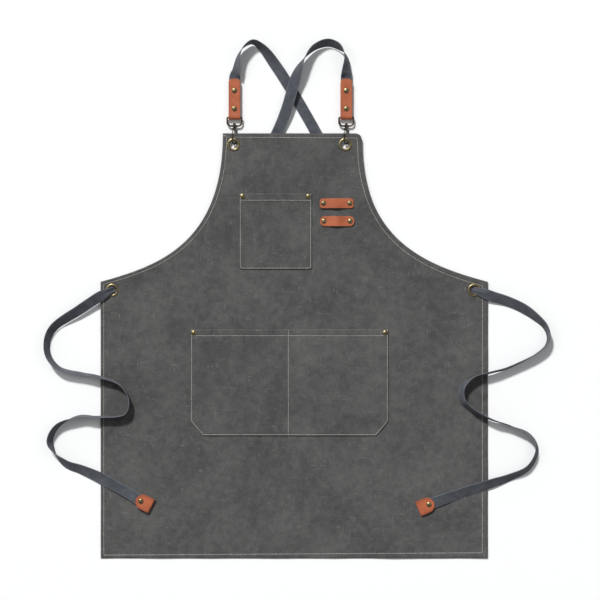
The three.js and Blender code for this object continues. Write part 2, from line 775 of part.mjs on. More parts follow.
const rightStrapRoute = [
  [94, 406, 5, 0, 1],
  [94, 435, 5, 0, 1],
  [94, 445, 3, -18, 1],
  [94, 468, 0.1, -62, 1],
  [89, 482, 0.1, -92, 1],
  [79, 492, 0.1, -118, 1],
  [61, 498, 0.1, -128, 1],
  [37, 490, 0.1, -115, 1],
  [19, 471, 0.1, -84, 1],
  [5, 442, 2, -30, 1],
  [-2, 419, 1.7, -6, 1],
  [-14, 378, 1.5, 0, 1],
  [-32, 334, 0.1, 0, 1],
  [-129, 153, 0.1, 0, 1],
  [-223, 86, 0.1, 0, 1],
  [-308, 56, 0.1, 0, 0.7],
  [-323, 53.5, 0.1, 0, 0.46],
  [-334.5, 49, 5.35, 0, 0.46],
  [-343, 44.5, 5.4, 0, 0.75],
  [-356, 36.5, 4.2, 0, 1],
  [-387, 16, 0.3, 3, 1],
  [-434, -16, 0.1, 42, 1],
  [-446, -40, 0.1, 72, 1],
  [-443, -69, 0.1, 82, 1],
  [-424, -90, 0.1, 88, 1],
  [-385, -99, 0.1, 92, 1],
  [-355, -104, 3.3, 96, 1],
  [-316, -118, 3.2, 101, 1],
  [-298, -144, 3.2, 104, 1],
  [-304, -171, 3.2, 102, 1],
  [-356, -177, 3, 92, 1],
  [-389, -176.5, 0.1, 88, 1],
  [-428, -194, 0.1, 78, 1],
  [-441, -223, 0.1, 62, 1],
  [-415, -260, 0.1, 34, 1],
  [-385, -272.5, 0.2, 10, 1],
  [-354, -286, 2.4, 0, 1],
  [-293, -319, 5.8, 0, 1],
  [-281, -327, 5.8, 0, 1],
  [-260, -338, 5.8, 0, 1],
];

// How high the strap's middle lies when its lowest edge is at base.
function strapHeight(base, roll, width) {
  const angle = THREE.MathUtils.degToRad(roll);
  const standing = (Math.abs(Math.sin(angle)) * width * strapWidth) / 2;
  const lying = (Math.abs(Math.cos(angle)) * strapThickness) / 2;
  return base + standing + lying;
}

// A column's value between two rows, smooth and never beyond either row's own value.
function glide(before, start, end, after, t) {
  const slope = (arriving, leaving) =>
    arriving * leaving > 0 ? (2 * arriving * leaving) / (arriving + leaving) : 0;
  const first = slope(start - before, end - start);
  const last = slope(end - start, after - end);
  const rise = t * t * (3 - 2 * t);
  return start + (end - start) * rise + first * t * (1 - t) ** 2 - last * t * t * (1 - t);
}

// The strap's middle, roll and width at a share of the route from 0 to 1.
function strapRoute(rows) {
  const plan = new THREE.CatmullRomCurve3(rows.map(([x, y]) => new THREE.Vector3(x, y, 0)));
  const last = rows.length - 1;
  return (share) => {
    const row = Math.min(Math.floor(share * last), last - 1);
    const near = [row - 1, row, row + 1, row + 2].map((i) => rows[THREE.MathUtils.clamp(i, 0, last)]);
    const [base, roll, width] = [2, 3, 4].map((column) =>
      glide(...near.map((values) => values[column]), share * last - row),
    );
    const middle = plan.getPoint(share);
    middle.z = strapHeight(base, roll, width);
    return { middle, roll, width };
  };
}

const up = new THREE.Vector3(0, 0, 1);
const nearby = 1e-3; // share of the route over which its direction is taken, and a small height

// Each face of the band is a row of triangle pairs, with corners a, b, d and b, c, d. Dividing the
// back's pairs along the other diagonal, a, b, c and a, c, d, keeps the two faces parallel where the
// webbing twists, so they never pass through each other.
function turnBackDiagonals(position, backHeight) {
  const pairCorners = [0, 1, 2, 3, 4, 5];
  const corner = new THREE.Vector3();
  const copyCorner = (from, to) => {
    corner.fromBufferAttribute(position, from);
    position.setXYZ(to, corner.x, corner.y, corner.z);
  };
  const isBack = (i) => Math.abs(position.getY(i) - backHeight) < nearby;
  for (let a = 0; a < position.count; a += pairCorners.length) {
    if (!pairCorners.every((i) => isBack(a + i))) continue;
    const c = a + 4;
    copyCorner(c, a + 2);
    copyCorner(a, a + 3);
  }
}

// The webbing is a straight band, laid along the route and rolled about it.
function strapSolid(route) {
  const at = strapRoute(route);
  const half = strapWidth / 2;
  const thin = strapThickness / 2;
  const flat = half - strapEdge;
  const section = [
    [half, 0],
    [flat, thin],
    [-flat, thin],
    [-half, 0],
    [-flat, -thin],
    [flat, -thin],
  ].map(([across, through]) => new THREE.Vector2(across, through));
  const band = new THREE.ExtrudeGeometry(new THREE.Shape(section), {
    depth: 1,
    steps: strapSteps,
    bevelEnabled: false,
  });
  const position = band.getAttribute("position");
  turnBackDiagonals(position, -thin);
  for (let i = 0; i < position.count; i++) {
    const share = THREE.MathUtils.clamp(position.getZ(i), 0, 1);
    const { middle, roll, width } = at(share);
    const angle = THREE.MathUtils.degToRad(roll);
    const ahead = at(Math.min(share + nearby, 1)).middle;
    const along = ahead.sub(at(Math.max(share - nearby, 0)).middle).normalize();
    const side = along.clone().cross(up).normalize();
    const over = side.clone().cross(along);
    const across = side.clone().multiplyScalar(Math.cos(angle)).addScaledVector(over, Math.sin(angle));
    const through = side.multiplyScalar(Math.sin(angle)).addScaledVector(over, -Math.cos(angle));
    const point = middle.clone();
    point.addScaledVector(across, position.getX(i) * width);
    point.addScaledVector(through, position.getY(i));
    position.setXYZ(i, point.x, point.y, point.z);
  }
  return solidOf(band);
}

// ---- Strap tips ----

// The tip's leather is folded over the strap's end: x runs along the strap, and its end is at 0.
const tipFold = tipLeather + 1;
const tipThickness = 2 * tipLeather + tipGap;

function tipSolid() {
  const profile = new THREE.Shape();
  const half = tipThickness / 2;
  const start = tipFold - tipLength;
  profile.moveTo(start, half);
  profile.lineTo(start, tipGap / 2);
  profile.lineTo(1, tipGap / 2);
  profile.lineTo(1, -tipGap / 2);
  profile.lineTo(start, -tipGap / 2);
  profile.lineTo(start, -half);
  profile.lineTo(tipFold - 1, -half);
  profile.quadraticCurveTo(tipFold, -half, tipFold, 0);
  profile.quadraticCurveTo(tipFold, half, tipFold - 1, half);
  const geometry = new THREE.ExtrudeGeometry(new THREE.Shape(withoutDoubles(profile.getPoints(4))), {
    depth: tipWidth + 2,
    bevelEnabled: false,
  });
  geometry.rotateX(Math.PI / 2).translate(0, tipWidth / 2 + 1, 0);
  const outlineShape = new THREE.Shape();
  outlineShape.moveTo(start + tipRadius, -tipWidth / 2);
  outlineShape.lineTo(tipFold + 1, -tipWidth / 2);
  outlineShape.lineTo(tipFold + 1, tipWidth / 2);
  outlineShape.lineTo(start + tipRadius, tipWidth / 2);
  outlineShape.absarc(start + tipRadius, 0, tipRadius, Math.PI / 2, 1.5 * Math.PI);
  return solidOf(geometry).intersect(prism(withoutDoubles(outlineShape.getPoints(8)), -tall, tall));
}

const tipRivetX = tipFold - tipRivetFromFold;
const tip = drilled(tipSolid(), [[tipRivetX, 0]], rivetHoleRadius, rivetFacets);
const straps = [
  { side: "left", tie: "right", x: tabLeftX, route: leftStrapRoute },
  { side: "right", tie: "left", x: tabRightX, route: rightStrapRoute },
];

for (const { side, tie, x, route } of straps) {
  const end = strapRoute(route)(1).middle;
  const before = strapRoute(route)(0.99).middle;
  const heading = Math.atan2(end.y - before.y, end.x - before.x);
  const rivetPlaces = [
    [x, loopBarY - originY + tabRivets[1]],
    [end.x + tipRivetX * Math.cos(heading), end.y + tipRivetX * Math.sin(heading)],
  ];
  const strap = drilled(strapSolid(route), rivetPlaces, rivetHoleRadius, rivetFacets);
  addPiece(root, "strap_" + side, strap, webbing);
  const tipGroup = new THREE.Group();
  tipGroup.position.copy(end);
  tipGroup.rotation.z = heading;
  root.add(tipGroup);
  addPiece(tipGroup, "tie_tip_" + tie, tip, leather);
  const half = tipThickness / 2;
  addRivet(tipGroup, "tie_tip_rivet_" + tie, [tipRivetX, 0], [-half, half], rivetBackHeight);
}

export default root;
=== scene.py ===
# %% [markdown]
# # A painter's canvas apron, laid flat
# A cross-back apron is cloth, webbing, leather and small brass hardware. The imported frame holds
# each piece's place, so this file loads it first and takes its measures from it. The unit is
# the metre, +Y points to the neck and +Z points up off the floor.

# %% Load the frame
import math

import bmesh
import bpy
import numpy as np
from mathutils import Matrix, Vector, noise


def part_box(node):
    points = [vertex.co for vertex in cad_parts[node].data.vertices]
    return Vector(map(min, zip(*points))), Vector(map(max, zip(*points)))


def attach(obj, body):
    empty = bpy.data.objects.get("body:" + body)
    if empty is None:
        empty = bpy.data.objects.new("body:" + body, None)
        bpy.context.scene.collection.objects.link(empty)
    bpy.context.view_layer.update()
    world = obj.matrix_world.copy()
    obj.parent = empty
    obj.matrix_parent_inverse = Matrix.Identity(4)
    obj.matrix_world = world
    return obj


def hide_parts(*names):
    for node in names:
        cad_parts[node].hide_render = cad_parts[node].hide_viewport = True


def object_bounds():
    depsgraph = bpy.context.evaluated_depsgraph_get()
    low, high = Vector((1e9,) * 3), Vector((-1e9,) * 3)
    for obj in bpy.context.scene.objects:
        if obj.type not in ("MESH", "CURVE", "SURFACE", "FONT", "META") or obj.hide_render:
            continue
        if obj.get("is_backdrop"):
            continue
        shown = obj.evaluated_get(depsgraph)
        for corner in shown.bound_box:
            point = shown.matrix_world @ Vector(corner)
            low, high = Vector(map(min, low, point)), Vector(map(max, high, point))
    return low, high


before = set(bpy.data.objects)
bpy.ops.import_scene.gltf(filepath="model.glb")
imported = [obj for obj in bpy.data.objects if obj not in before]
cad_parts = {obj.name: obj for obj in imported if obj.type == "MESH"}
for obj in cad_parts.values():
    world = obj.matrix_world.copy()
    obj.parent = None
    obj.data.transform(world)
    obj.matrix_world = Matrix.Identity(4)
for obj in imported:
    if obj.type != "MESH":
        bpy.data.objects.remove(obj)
cad_low, cad_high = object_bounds()
panel_low, panel_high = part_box("apron_panel")
hem_y = panel_low.y
MM = 0.001
print("frame box in mm:", [round(x / MM) for x in cad_high - cad_low])

# %% [markdown]
# ## The camera
# The apron is seen from straight above and far away, so the lens is long and the picture is
# nearly free of perspective. The lens follows from the height and the width of floor to show.

# %% Camera
VIEW_WIDTH = 1.086
VIEW_HEIGHT = 3.2
VIEW_CENTRE = (0.0104, 0.03375)
camera_data = bpy.data.cameras.new("overhead_camera")
camera_data.lens = camera_data.sensor_width * VIEW_HEIGHT / VIEW_WIDTH
camera = bpy.data.objects.new("overhead_camera", camera_data)
camera.location = (*VIEW_CENTRE, VIEW_HEIGHT)
bpy.context.scene.collection.objects.link(camera)
bpy.context.scene.camera = camera
bpy.context.scene.view_settings.view_transform = "Standard"
print("lens in mm:", round(camera_data.lens))

# %% [markdown]
# ## Helpers for making meshes
# Cloth, webbing, leather and wire are all sheets or tubes that follow a path. Each starts as a
# flat grid from Blender's own operator, and a small function then says where each of its points
# goes. The grid's UVs stay in metres, so a weave keeps its true size wherever the cloth bends.


# %% Grids that are bent into place
def bent_grid(mesh, across, along, place):
    """Adds a grid whose columns and rows are at the values in across and along."""
    columns, rows = len(across) - 1, len(along) - 1
    made = bmesh.ops.create_grid(mesh, x_segments=columns, y_segments=rows, size=0.5)
    uv = mesh.loops.layers.uv.verify()
    spots = {}
    for vert in made["verts"]:
        a = across[round((vert.co.x + 0.5) * columns)]
        b = along[round((vert.co.y + 0.5) * rows)]
        spots[vert] = (a, b)
        vert.co = place(a, b)
    for face in {face for vert in made["verts"] for face in vert.link_faces}:
        for loop in face.loops:
            loop[uv].uv = spots[loop.vert]
    return made["verts"]


def steps(low, high, count):
    return [low + (high - low) * i / count for i in range(count + 1)]


def edged_steps(low, high, step, close_in):
    """Even steps, with extra ones at the given distances from both ends."""
    inner = steps(low + close_in[-1], high - close_in[-1], max(2, round((high - low) / step)))
    return [low + d for d in close_in[:-1]] + inner + [high - d for d in reversed(close_in[:-1])]


def close_up(mesh):
    """Merges the seams of a closed shape and turns its faces outwards."""
    bmesh.ops.remove_doubles(mesh, verts=mesh.verts, dist=2e-6)
    bmesh.ops.recalc_face_normals(mesh, faces=mesh.faces)


def as_piece(name, mesh, slot, stands_for=(), body="apron", crease=40, finish=None):
    """Turns a bmesh into a finished piece that rides on a body of the frame."""
    data = bpy.data.meshes.new(name)
    mesh.to_mesh(data)
    mesh.free()
    data.shade_smooth()
    data.set_sharp_from_angle(angle=math.radians(crease))
    data.materials.append(finish or FINISHES[slot])
    piece = bpy.data.objects.new(name, data)
    bpy.context.scene.collection.objects.link(piece)
    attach(piece, body)
    if stands_for:
        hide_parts(*stands_for)
    return piece


def thicken(piece, thickness, offset, rounding=0.0, segments=2):
    """Gives a sheet its thickness, and rounds its cut edges."""
    wall = piece.modifiers.new("thickness", "SOLIDIFY")
    wall.thickness = thickness
    wall.offset = offset
    if rounding:
        soft = piece.modifiers.new("soft_edges", "BEVEL")
        soft.width = rounding
        soft.segments = segments
        soft.limit_method = "ANGLE"
        soft.angle_limit = math.radians(50)


# %% [markdown]
# ## Helpers for finishes
# A finish is a graph of shader nodes. To read it like a formula, a small class wraps one socket
# and lets plus, minus and times add the Math nodes.


# %% Shader maths
class Signal:
    """One output socket in a finish; arithmetic on it adds Math nodes."""

    def __init__(self, tree, socket):
        self.tree = tree
        self.socket = socket

    def node(self, kind, settings=None, values=None, output=0):
        made = self.tree.nodes.new(kind)
        for name, value in (settings or {}).items():
            if name == "stops":
                for stop, (place, shade) in zip(made.color_ramp.elements, value):
                    stop.position = place
                    stop.color = (*shade, 1)
            else:
                setattr(made, name, value)
        for name, value in (values or {}).items():
            if isinstance(value, Signal):
                self.tree.links.new(value.socket, made.inputs[name])
            else:
                made.inputs[name].default_value = value
        return Signal(self.tree, made.outputs[output])

    def math(self, operation, *values):
        return self.node(
            "ShaderNodeMath", {"operation": operation}, dict(enumerate((self, *values)))
        )

    def __add__(self, other):
        return self.math("ADD", other)

    __radd__ = __add__

    def __mul__(self, other):
        return self.math("MULTIPLY", other)

    __rmul__ = __mul__

    def __sub__(self, other):
        return self.math("SUBTRACT", other)

    def __rsub__(self, other):
        return (self * -1).math("ADD", other)

    def band(self, low, high):
        """0 below low, 1 above high, and a smooth rise between them."""
        values = {"Value": self, "From Min": low, "From Max": high}
        settings = {"interpolation_type": "SMOOTHSTEP"}
        return self.node("ShaderNodeMapRange", settings, values)

    def noise(self, scale, detail=4.0, rough=0.55, stretch=(1, 1, 1)):
        """Cloudy noise on this position, drawn out by stretch."""
        spot = self.node("ShaderNodeMapping", None, {"Vector": self, "Scale": stretch})
        values = {"Vector": spot, "Scale": scale, "Detail": detail, "Roughness": rough}
        return self.node("ShaderNodeTexNoise", None, values)

    def between(self, first, second):
        """A colour from first, at 0, to second, at 1."""
        values = {0: self, 6: first, 7: second}
        return self.node("ShaderNodeMix", {"data_type": "RGBA"}, values, 2)


def colour(red, green, blue):
    """A colour as it shows on screen, from 0 to 255, made linear for the shader."""
    shares = [part / 255 for part in (red, green, blue)]
    return (*[s / 12.92 if s <= 0.04045 else ((s + 0.055) / 1.055) ** 2.4 for s in shares], 1)


def new_finish(name, **fixed):
    """A material with its fixed values set, its shader node and its position signals."""
    material = bpy.data.materials.new(name)
    material.use_nodes = True
    tree = material.node_tree
    shader = tree.nodes["Principled BSDF"]
    for socket, value in fixed.items():
        shader.inputs[socket.replace("_", " ")].default_value = value
    spot = tree.nodes.new("ShaderNodeTexCoord")
    return material, shader, Signal(tree, spot.outputs["Object"]), Signal(tree, spot.outputs["UV"])


def feed(shader, socket, signal):
    signal.tree.links.new(signal.socket, shader.inputs[socket])


def feed_bump(shader, height, distance, strength=1.0):
    values = {"Height": height, "Distance": distance, "Strength": strength}
    feed(shader, "Normal", height.node("ShaderNodeBump", None, values))


def axis(signal, index):
    return signal.node("ShaderNodeSeparateXYZ", None, {0: signal}, index)


# %% [markdown]
# ## Waxed canvas
# Washed, waxed canvas is a plain weave that has lost colour unevenly: broad clouds from the wash,
# fine mottling where the wax has cracked, and short pale flecks along the threads.


# %% Canvas finish
def canvas_finish():
    material, shader, spot, _ = new_finish("waxed_canvas", Roughness=0.86)
    shader.inputs["Specular IOR Level"].default_value = 0.25
    shader.inputs["Sheen Weight"].default_value = 0.12
    shader.inputs["Sheen Roughness"].default_value = 0.5
    clouds = spot.noise(9.0, 3.0)
    mottle = spot.noise(75.0, 6.0, 0.65)
    grain = spot.noise(520.0, 3.0, 0.7)
    flecks_up = spot.noise(420.0, 2.0, 0.5, (1.0, 0.16, 1.0)).band(0.63, 0.76)
    flecks_across = spot.noise(420.0, 2.0, 0.5, (0.16, 1.0, 1.0)).band(0.63, 0.76)
    wear = spot.noise(28.0, 5.0, 0.6).band(0.42, 0.7)
    thread = 2 * math.pi / (1.1 * MM)
    weave = (axis(spot, 0) * thread).math("SINE") * (axis(spot, 1) * thread).math("SINE")
    tone = clouds * 0.36 + mottle * 0.42 + grain * 0.34 + weave * 0.035
    base = tone.band(0.3, 0.8).between(colour(58, 58, 58), colour(101, 100, 99))
    pale = (flecks_up + flecks_across) * (wear * 0.4 + 0.16)
    feed(shader, "Base Color", pale.math("MINIMUM", 0.5).between(base, colour(142, 140, 138)))
    feed(shader, "Roughness", 0.8 + grain * 0.14)
    feed_bump(shader, mottle * 0.5 + grain * 0.55 + weave * 0.4, 0.5 * MM, 0.8)
    return material


canvas = canvas_finish()


# %% [markdown]
# ## Webbing, thread, leather and brass
# Webbing is woven in a herringbone, so its ribs lean one way on each half, and both its
# selvedges carry a painted highlight. Leather has a fine grain, softly uneven dye and darker
# burnished edges. The brass plate is antiqued: dark in its hollows and bright where it has rubbed.


# %% Webbing and thread finishes
def webbing_finish():
    material, shader, spot, strip = new_finish("webbing", Roughness=0.82)
    shader.inputs["Specular IOR Level"].default_value = 0.3
    shader.inputs["Sheen Weight"].default_value = 0.1
    across = axis(strip, 0).math("ABSOLUTE")
    along = axis(strip, 1)
    lean = (along + across) * (2 * math.pi / (2.2 * MM))
    rib = lean.math("SINE")
    warp = (across * (2 * math.pi / (1.0 * MM))).math("SINE")
    # edge is a painted highlight: the outermost millimetres of both selvedges are painted lighter
    edge = across.band(8.2 * MM, 9.6 * MM)
    cloud = spot.noise(60.0, 4.0)
    tone = cloud * 0.6 + rib * 0.1 + warp * 0.06 + edge * 0.22
    base = tone.band(0.1, 0.75).between(colour(62, 65, 72), colour(108, 111, 118))
    feed(shader, "Base Color", base)
    feed_bump(shader, rib * 0.5 + warp * 0.3, 0.35 * MM, 0.7)
    return material


def thread_finish():
    material, shader, spot, _ = new_finish("contrast_thread", Roughness=0.7)
    tone = spot.noise(260.0, 3.0)
    base = tone.band(0.25, 0.75).between(colour(150, 147, 140), colour(205, 202, 194))
    feed(shader, "Base Color", base)
    return material


webbing = webbing_finish()
thread = thread_finish()


# %% Leather finish
def leather_finish():
    material, shader, spot, strip = new_finish("tan_leather", Roughness=0.55)
    shader.inputs["Specular IOR Level"].default_value = 0.35
    dye = spot.noise(45.0, 5.0, 0.6)
    grain_values = {"Vector": spot, "Scale": 1500.0}
    grain = spot.node("ShaderNodeTexVoronoi", {"feature": "F1"}, grain_values)
    fine = spot.noise(900.0, 3.0)
    tone = dye * 0.8 + fine * 0.25
    base = tone.band(0.25, 0.8).between(colour(148, 76, 46), colour(184, 101, 66))
    burnish = axis(strip, 0).math("ABSOLUTE").band(8.6 * MM, 10.6 * MM)
    feed(shader, "Base Color", (burnish * 0.35).between(base, colour(110, 52, 36)))
    feed(shader, "Roughness", 0.46 + fine * 0.2)
    feed_bump(shader, grain + fine * 0.5, 0.18 * MM, 0.6)
    return material


leather = leather_finish()


# %% Brass finishes
def brass_finish(name, dark, bright, roughness):
    material, shader, spot, _ = new_finish(name, Metallic=1.0)
    tarnish = spot.noise(420.0, 5.0, 0.65)
    scuff = spot.noise(1800.0, 3.0, 0.6)
    rubbed = (tarnish * 0.75 + scuff * 0.3).band(0.36, 0.62)
    feed(shader, "Base Color", rubbed.between(dark, bright))
    feed(shader, "Roughness", roughness + 0.2 - rubbed * 0.2)
    feed_bump(shader, tarnish + scuff * 0.4, 0.06 * MM, 0.5)
    return material


antique_brass = brass_finish("antique_brass", colour(66, 58, 40), colour(152, 139, 104), 0.3)
dark_brass = brass_finish("dark_brass", colour(34, 31, 27), colour(104, 98, 84), 0.26)
FINISHES = {
    "waxed_canvas": canvas,
    "webbing": webbing,
    "leather": leather,
    "antique_brass": antique_brass,
    "dark_brass": dark_brass,
}
print("finishes:", ", ".join(FINISHES))

# %% [markdown]
# ## The straps
# Two webbing straps run from the shoulder tabs, cross behind the back, pass out through the side
# grommets and end as the waist ties. They are the object's free cords, so their routes come
# before anything else. Each row of a route is x, y, the lower edge's height, the roll in degrees
# and how far the webbing is gathered, which it is where it squeezes through its grommet. Heights
# and rolls were chosen for their shadows, so parts of the neck loops and of the ties' first
# stretches stand clear of the floor with nothing under them.

# %% Strap routes
STRAP_WIDTH = 0.020
STRAP_THICKNESS = 0.0012
LEFT_ROUTE = [
    (-0.108, 0.406, 0.005, 0, 1),
    (-0.1075, 0.435, 0.005, 0, 1),
    (-0.105, 0.445, 0.004, 38, 1),
    (-0.1, 0.474, 0.005, 72, 1),
    (-0.092, 0.489, 0.005, 87, 1),
    (-0.075, 0.499, 0.003, 107, 1),
    (-0.059, 0.49, 0.001, 128, 1),
    (-0.031, 0.454, 0.0003, 168, 1),
    (0.003, 0.4, 0.0001, 180, 1),
    (0.048, 0.321, 0.0001, 180, 1),
    (0.138, 0.154, 0.0001, 180, 1),
    (0.226, 0.086, 0.0001, 180, 1),
    (0.306, 0.0565, 0.0001, 180, 0.8),
    (0.3195, 0.053, 0.0001, 180, 0.6),
    (0.3315, 0.0495, 0.0062, 178, 0.62),
    (0.341, 0.0465, 0.0066, 170, 0.86),
    (0.355, 0.041, 0.0048, 160, 1),
    (0.384, 0.032, 0.0012, 151, 1),
    (0.413, 0.019, 0.0001, 146, 1),
    (0.436, 0.003, 0.0001, 128, 1),
    (0.453, -0.014, 0.0001, 112, 1),
    (0.459, -0.032, 0.0001, 101, 1),
    (0.452, -0.051, 0.0001, 90, 1),
    (0.388, -0.088, 0.0001, 77, 1),
    (0.355, -0.097, 0.0033, 77, 1),
    (0.322, -0.106, 0.0032, 90, 1),
    (0.303, -0.124, 0.0032, 113, 1),
    (0.304, -0.148, 0.0032, 117, 1),
    (0.323, -0.165, 0.0031, 104, 1),
    (0.356, -0.182, 0.003, 98, 1),
    (0.389, -0.193, 0.0001, 94, 1),
    (0.424, -0.209, 0.0001, 78, 1),
    (0.438, -0.235, 0.0001, 69, 1),
    (0.424, -0.268, 0.0001, 58, 1),
    (0.388, -0.287, 0.0002, 44, 1),
    (0.356, -0.2975, 0.0026, 32, 1),
    (0.3, -0.315, 0.003, 24, 1),
    (0.261, -0.329, 0.0058, 8, 1),
    (0.247, -0.334, 0.0058, 0, 1),
    (0.226, -0.343, 0.0058, 0, 1),
]
RIGHT_ROUTE = [
    (0.094, 0.406, 0.005, 0, 1),
    (0.094, 0.435, 0.005, 0, 1),
    (0.094, 0.445, 0.0045, -30, 1),
    (0.094, 0.468, 0.0045, -66, 1),
    (0.089, 0.482, 0.0045, -90, 1),
    (0.079, 0.492, 0.003, -118, 1),
    (0.061, 0.498, 0.0015, -128, 1),
    (0.037, 0.49, 0.002, -115, 1),
    (0.019, 0.471, 0.005, -86, 1),
    (0.005, 0.442, 0.0075, -36, 1),
    (-0.002, 0.419, 0.0095, -8, 1),
    (-0.014, 0.378, 0.0085, 0, 1),
    (-0.032, 0.334, 0.0034, 0, 1),
    (-0.129, 0.153, 0.0001, 0, 1),
    (-0.223, 0.086, 0.0001, 0, 1),
    (-0.308, 0.056, 0.0001, 0, 0.8),
    (-0.323, 0.0535, 0.0001, 0, 0.6),
    (-0.3345, 0.049, 0.0062, 4, 0.62),
    (-0.343, 0.0445, 0.0078, 14, 0.86),
    (-0.356, 0.0365, 0.0088, 26, 1),
    (-0.387, 0.016, 0.007, 32, 1),
    (-0.434, -0.016, 0.0015, 48, 1),
    (-0.446, -0.04, 0.0001, 62, 1),
    (-0.443, -0.069, 0.0001, 68, 1),
    (-0.424, -0.09, 0.0001, 74, 1),
    (-0.385, -0.099, 0.0001, 79, 1),
    (-0.355, -0.104, 0.0033, 82, 1),
    (-0.316, -0.118, 0.0032, 88, 1),
    (-0.298, -0.144, 0.0032, 90, 1),
    (-0.304, -0.171, 0.0032, 92, 1),
    (-0.356, -0.177, 0.003, 95, 1),
    (-0.389, -0.1765, 0.0001, 98, 1),
    (-0.428, -0.194, 0.0001, 70, 1),
    (-0.441, -0.223, 0.0001, 64, 1),
    (-0.415, -0.26, 0.0001, 132, 1),
    (-0.385, -0.2725, 0.0002, 150, 1),
    (-0.354, -0.286, 0.0024, 168, 1),
    (-0.293, -0.319, 0.0058, 180, 1),
    (-0.281, -0.327, 0.0058, 180, 1),
    (-0.26, -0.338, 0.0058, 180, 1),
]

# %% [markdown]
# A Catmull-Rom curve runs through every point of a route without a kink. Its centripetal form
# makes no loops where the points are close together. Height, roll and gathering must never swing
# past their own rows, or the webbing would sink into the floor, so they glide between rows.


# %% Where a strap lies
def centripetal(before, start, end, after, t):
    """A point between start and end of a centripetal Catmull-Rom curve."""
    gaps = [(q - p).length ** 0.5 for p, q in ((before, start), (start, end), (end, after))]
    first = (start - before) / gaps[0] - (end - before) / (gaps[0] + gaps[1])
    first = (first + (end - start) / gaps[1]) * gaps[1]
    last = (end - start) / gaps[1] - (after - start) / (gaps[1] + gaps[2])
    last = (last + (after - end) / gaps[2]) * gaps[1]
    cubic = 2 * (start - end) + first + last
    square = 3 * (end - start) - 2 * first - last
    return start + t * (first + t * (square + t * cubic))


def glide(before, start, end, after, t):
    """A value between start and end, smooth and never beyond either."""

    def slope(arriving, leaving):
        if arriving * leaving <= 0:
            return 0.0
        return 2 * arriving * leaving / (arriving + leaving)

    first = slope(start - before, end - start)
    last = slope(end - start, after - end)
    rise = t * t * (3 - 2 * t)
    return start + (end - start) * rise + first * t * (1 - t) ** 2 - last * t * t * (1 - t)


def strap_place(route, share):
    """The strap's middle, its roll in radians and its gathering, at a share of the route."""
    last = len(route) - 1
    row = min(int(share * last), last - 1)
    t = share * last - row
    points = [Vector(r[:2]) for r in route]
    before = points[row - 1] if row else 2 * points[0] - points[1]
    after = points[row + 2] if row + 2 <= last else 2 * points[last] - points[last - 1]
    plan = centripetal(before, points[row], points[row + 1], after, t)
    near = [route[min(max(i, 0), last)] for i in range(row - 1, row + 3)]
    base, roll, width = [glide(*[r[k] for r in near], t) for k in (2, 3, 4)]
    angle = math.radians(roll)
    standing = abs(math.sin(angle)) * width * STRAP_WIDTH / 2
    lying = abs(math.cos(angle)) * STRAP_THICKNESS / 2
    return Vector((*plan, base + standing + lying)), angle, width


# %% [markdown]
# The webbing is a grid as wide as the strap and as long as its route. Each point takes its place
# across the strap after the roll, and small pleats form where the webbing is gathered. Solidify
# then gives it a thickness of 1.2 mm, and a bevel rounds the selvedges.


# %% Make the straps
UP = Vector((0, 0, 1))


def make_strap(name, route, node, count=520):
    shares = steps(0, 1, count)
    rows = {share: strap_place(route, share) for share in shares}
    middles = [rows[share][0] for share in shares]
    lengths = np.cumsum([0] + [(q - p).length for p, q in zip(middles, middles[1:])])
    travel = {share: lengths[i] for i, share in enumerate(shares)}
    headings = {
        share: (middles[min(i + 1, count)] - middles[max(i - 1, 0)]).normalized()
        for i, share in enumerate(shares)
    }
    across = steps(-STRAP_WIDTH / 2, STRAP_WIDTH / 2, 10)

    def place(u, share):
        middle, angle, width = rows[share]
        side = headings[share].cross(UP).normalized()
        over = side.cross(headings[share])
        flat = side * math.cos(angle) + over * math.sin(angle)
        through = side * math.sin(angle) - over * math.cos(angle)
        pleat = 2.6 * MM * (1 - width) * math.cos(3 * math.pi * u / STRAP_WIDTH)
        flutter = 0.25 * MM * noise.noise(Vector((u * 60, travel[share] * 45, len(name))))
        return middle + flat * (u * width) + through * (pleat + flutter)

    mesh = bmesh.new()
    bent_grid(mesh, across, shares, place)
    uv = mesh.loops.layers.uv.verify()
    for face in mesh.faces:
        for loop in face.loops:
            u, share = loop[uv].uv
            loop[uv].uv = (u, float(np.interp(share, shares, lengths)))
    piece = as_piece(name, mesh, "webbing", [node], crease=60)
    thicken(piece, STRAP_THICKNESS, 0, 0.3 * MM)
    return piece, middles, float(lengths[-1])


straps = {
    "left": make_strap("left_strap", LEFT_ROUTE, "strap_left"),
    "right": make_strap("right_strap", RIGHT_ROUTE, "strap_right"),
}
for side, (_, _, length) in straps.items():
    print(side, "strap length in mm:", round(length / MM))

# %% [markdown]
# ## The apron panel
# The panel is one flat cut: straight sides, two armholes and a bib with one eased corner. The
# armhole is a Bezier curve that leaves the side at a shallow slope and ends upright at the bib.
# Rows of the grid are closest where the armhole turns, so the curve stays smooth.

# %% Outline of the panel
SIDE_LENGTH = 0.500
APRON_LENGTH = 0.768
HALF_WIDTH = 0.350
BIB_LEFT = 0.129
BIB_RIGHT = 0.1225
ARMHOLE_SIDE_PULL = 0.110
ARMHOLE_BIB_PULL = 0.195
ARMHOLE_SLOPE = 0.267
BIB_CUT = (0.010, 0.012)
CLOTH = 0.8 * MM
HEM_FOLD = 1.2 * MM
BIB_LIFT = 5.05 * MM


def bezier(corners, t):
    a, b, c, d = corners
    s = 1 - t
    return a * s**3 + 3 * b * s * s * t + 3 * c * s * t * t + d * t**3


def armhole(bib_half, top):
    """Corners of the right armhole's curve, from the side edge up to the bib's edge."""
    rise = SIDE_LENGTH + ARMHOLE_SLOPE * ARMHOLE_SIDE_PULL
    return [
        Vector((HALF_WIDTH, SIDE_LENGTH)),
        Vector((HALF_WIDTH - ARMHOLE_SIDE_PULL, rise)),
        Vector((bib_half, APRON_LENGTH - ARMHOLE_BIB_PULL)),
        Vector((bib_half, top)),
    ]


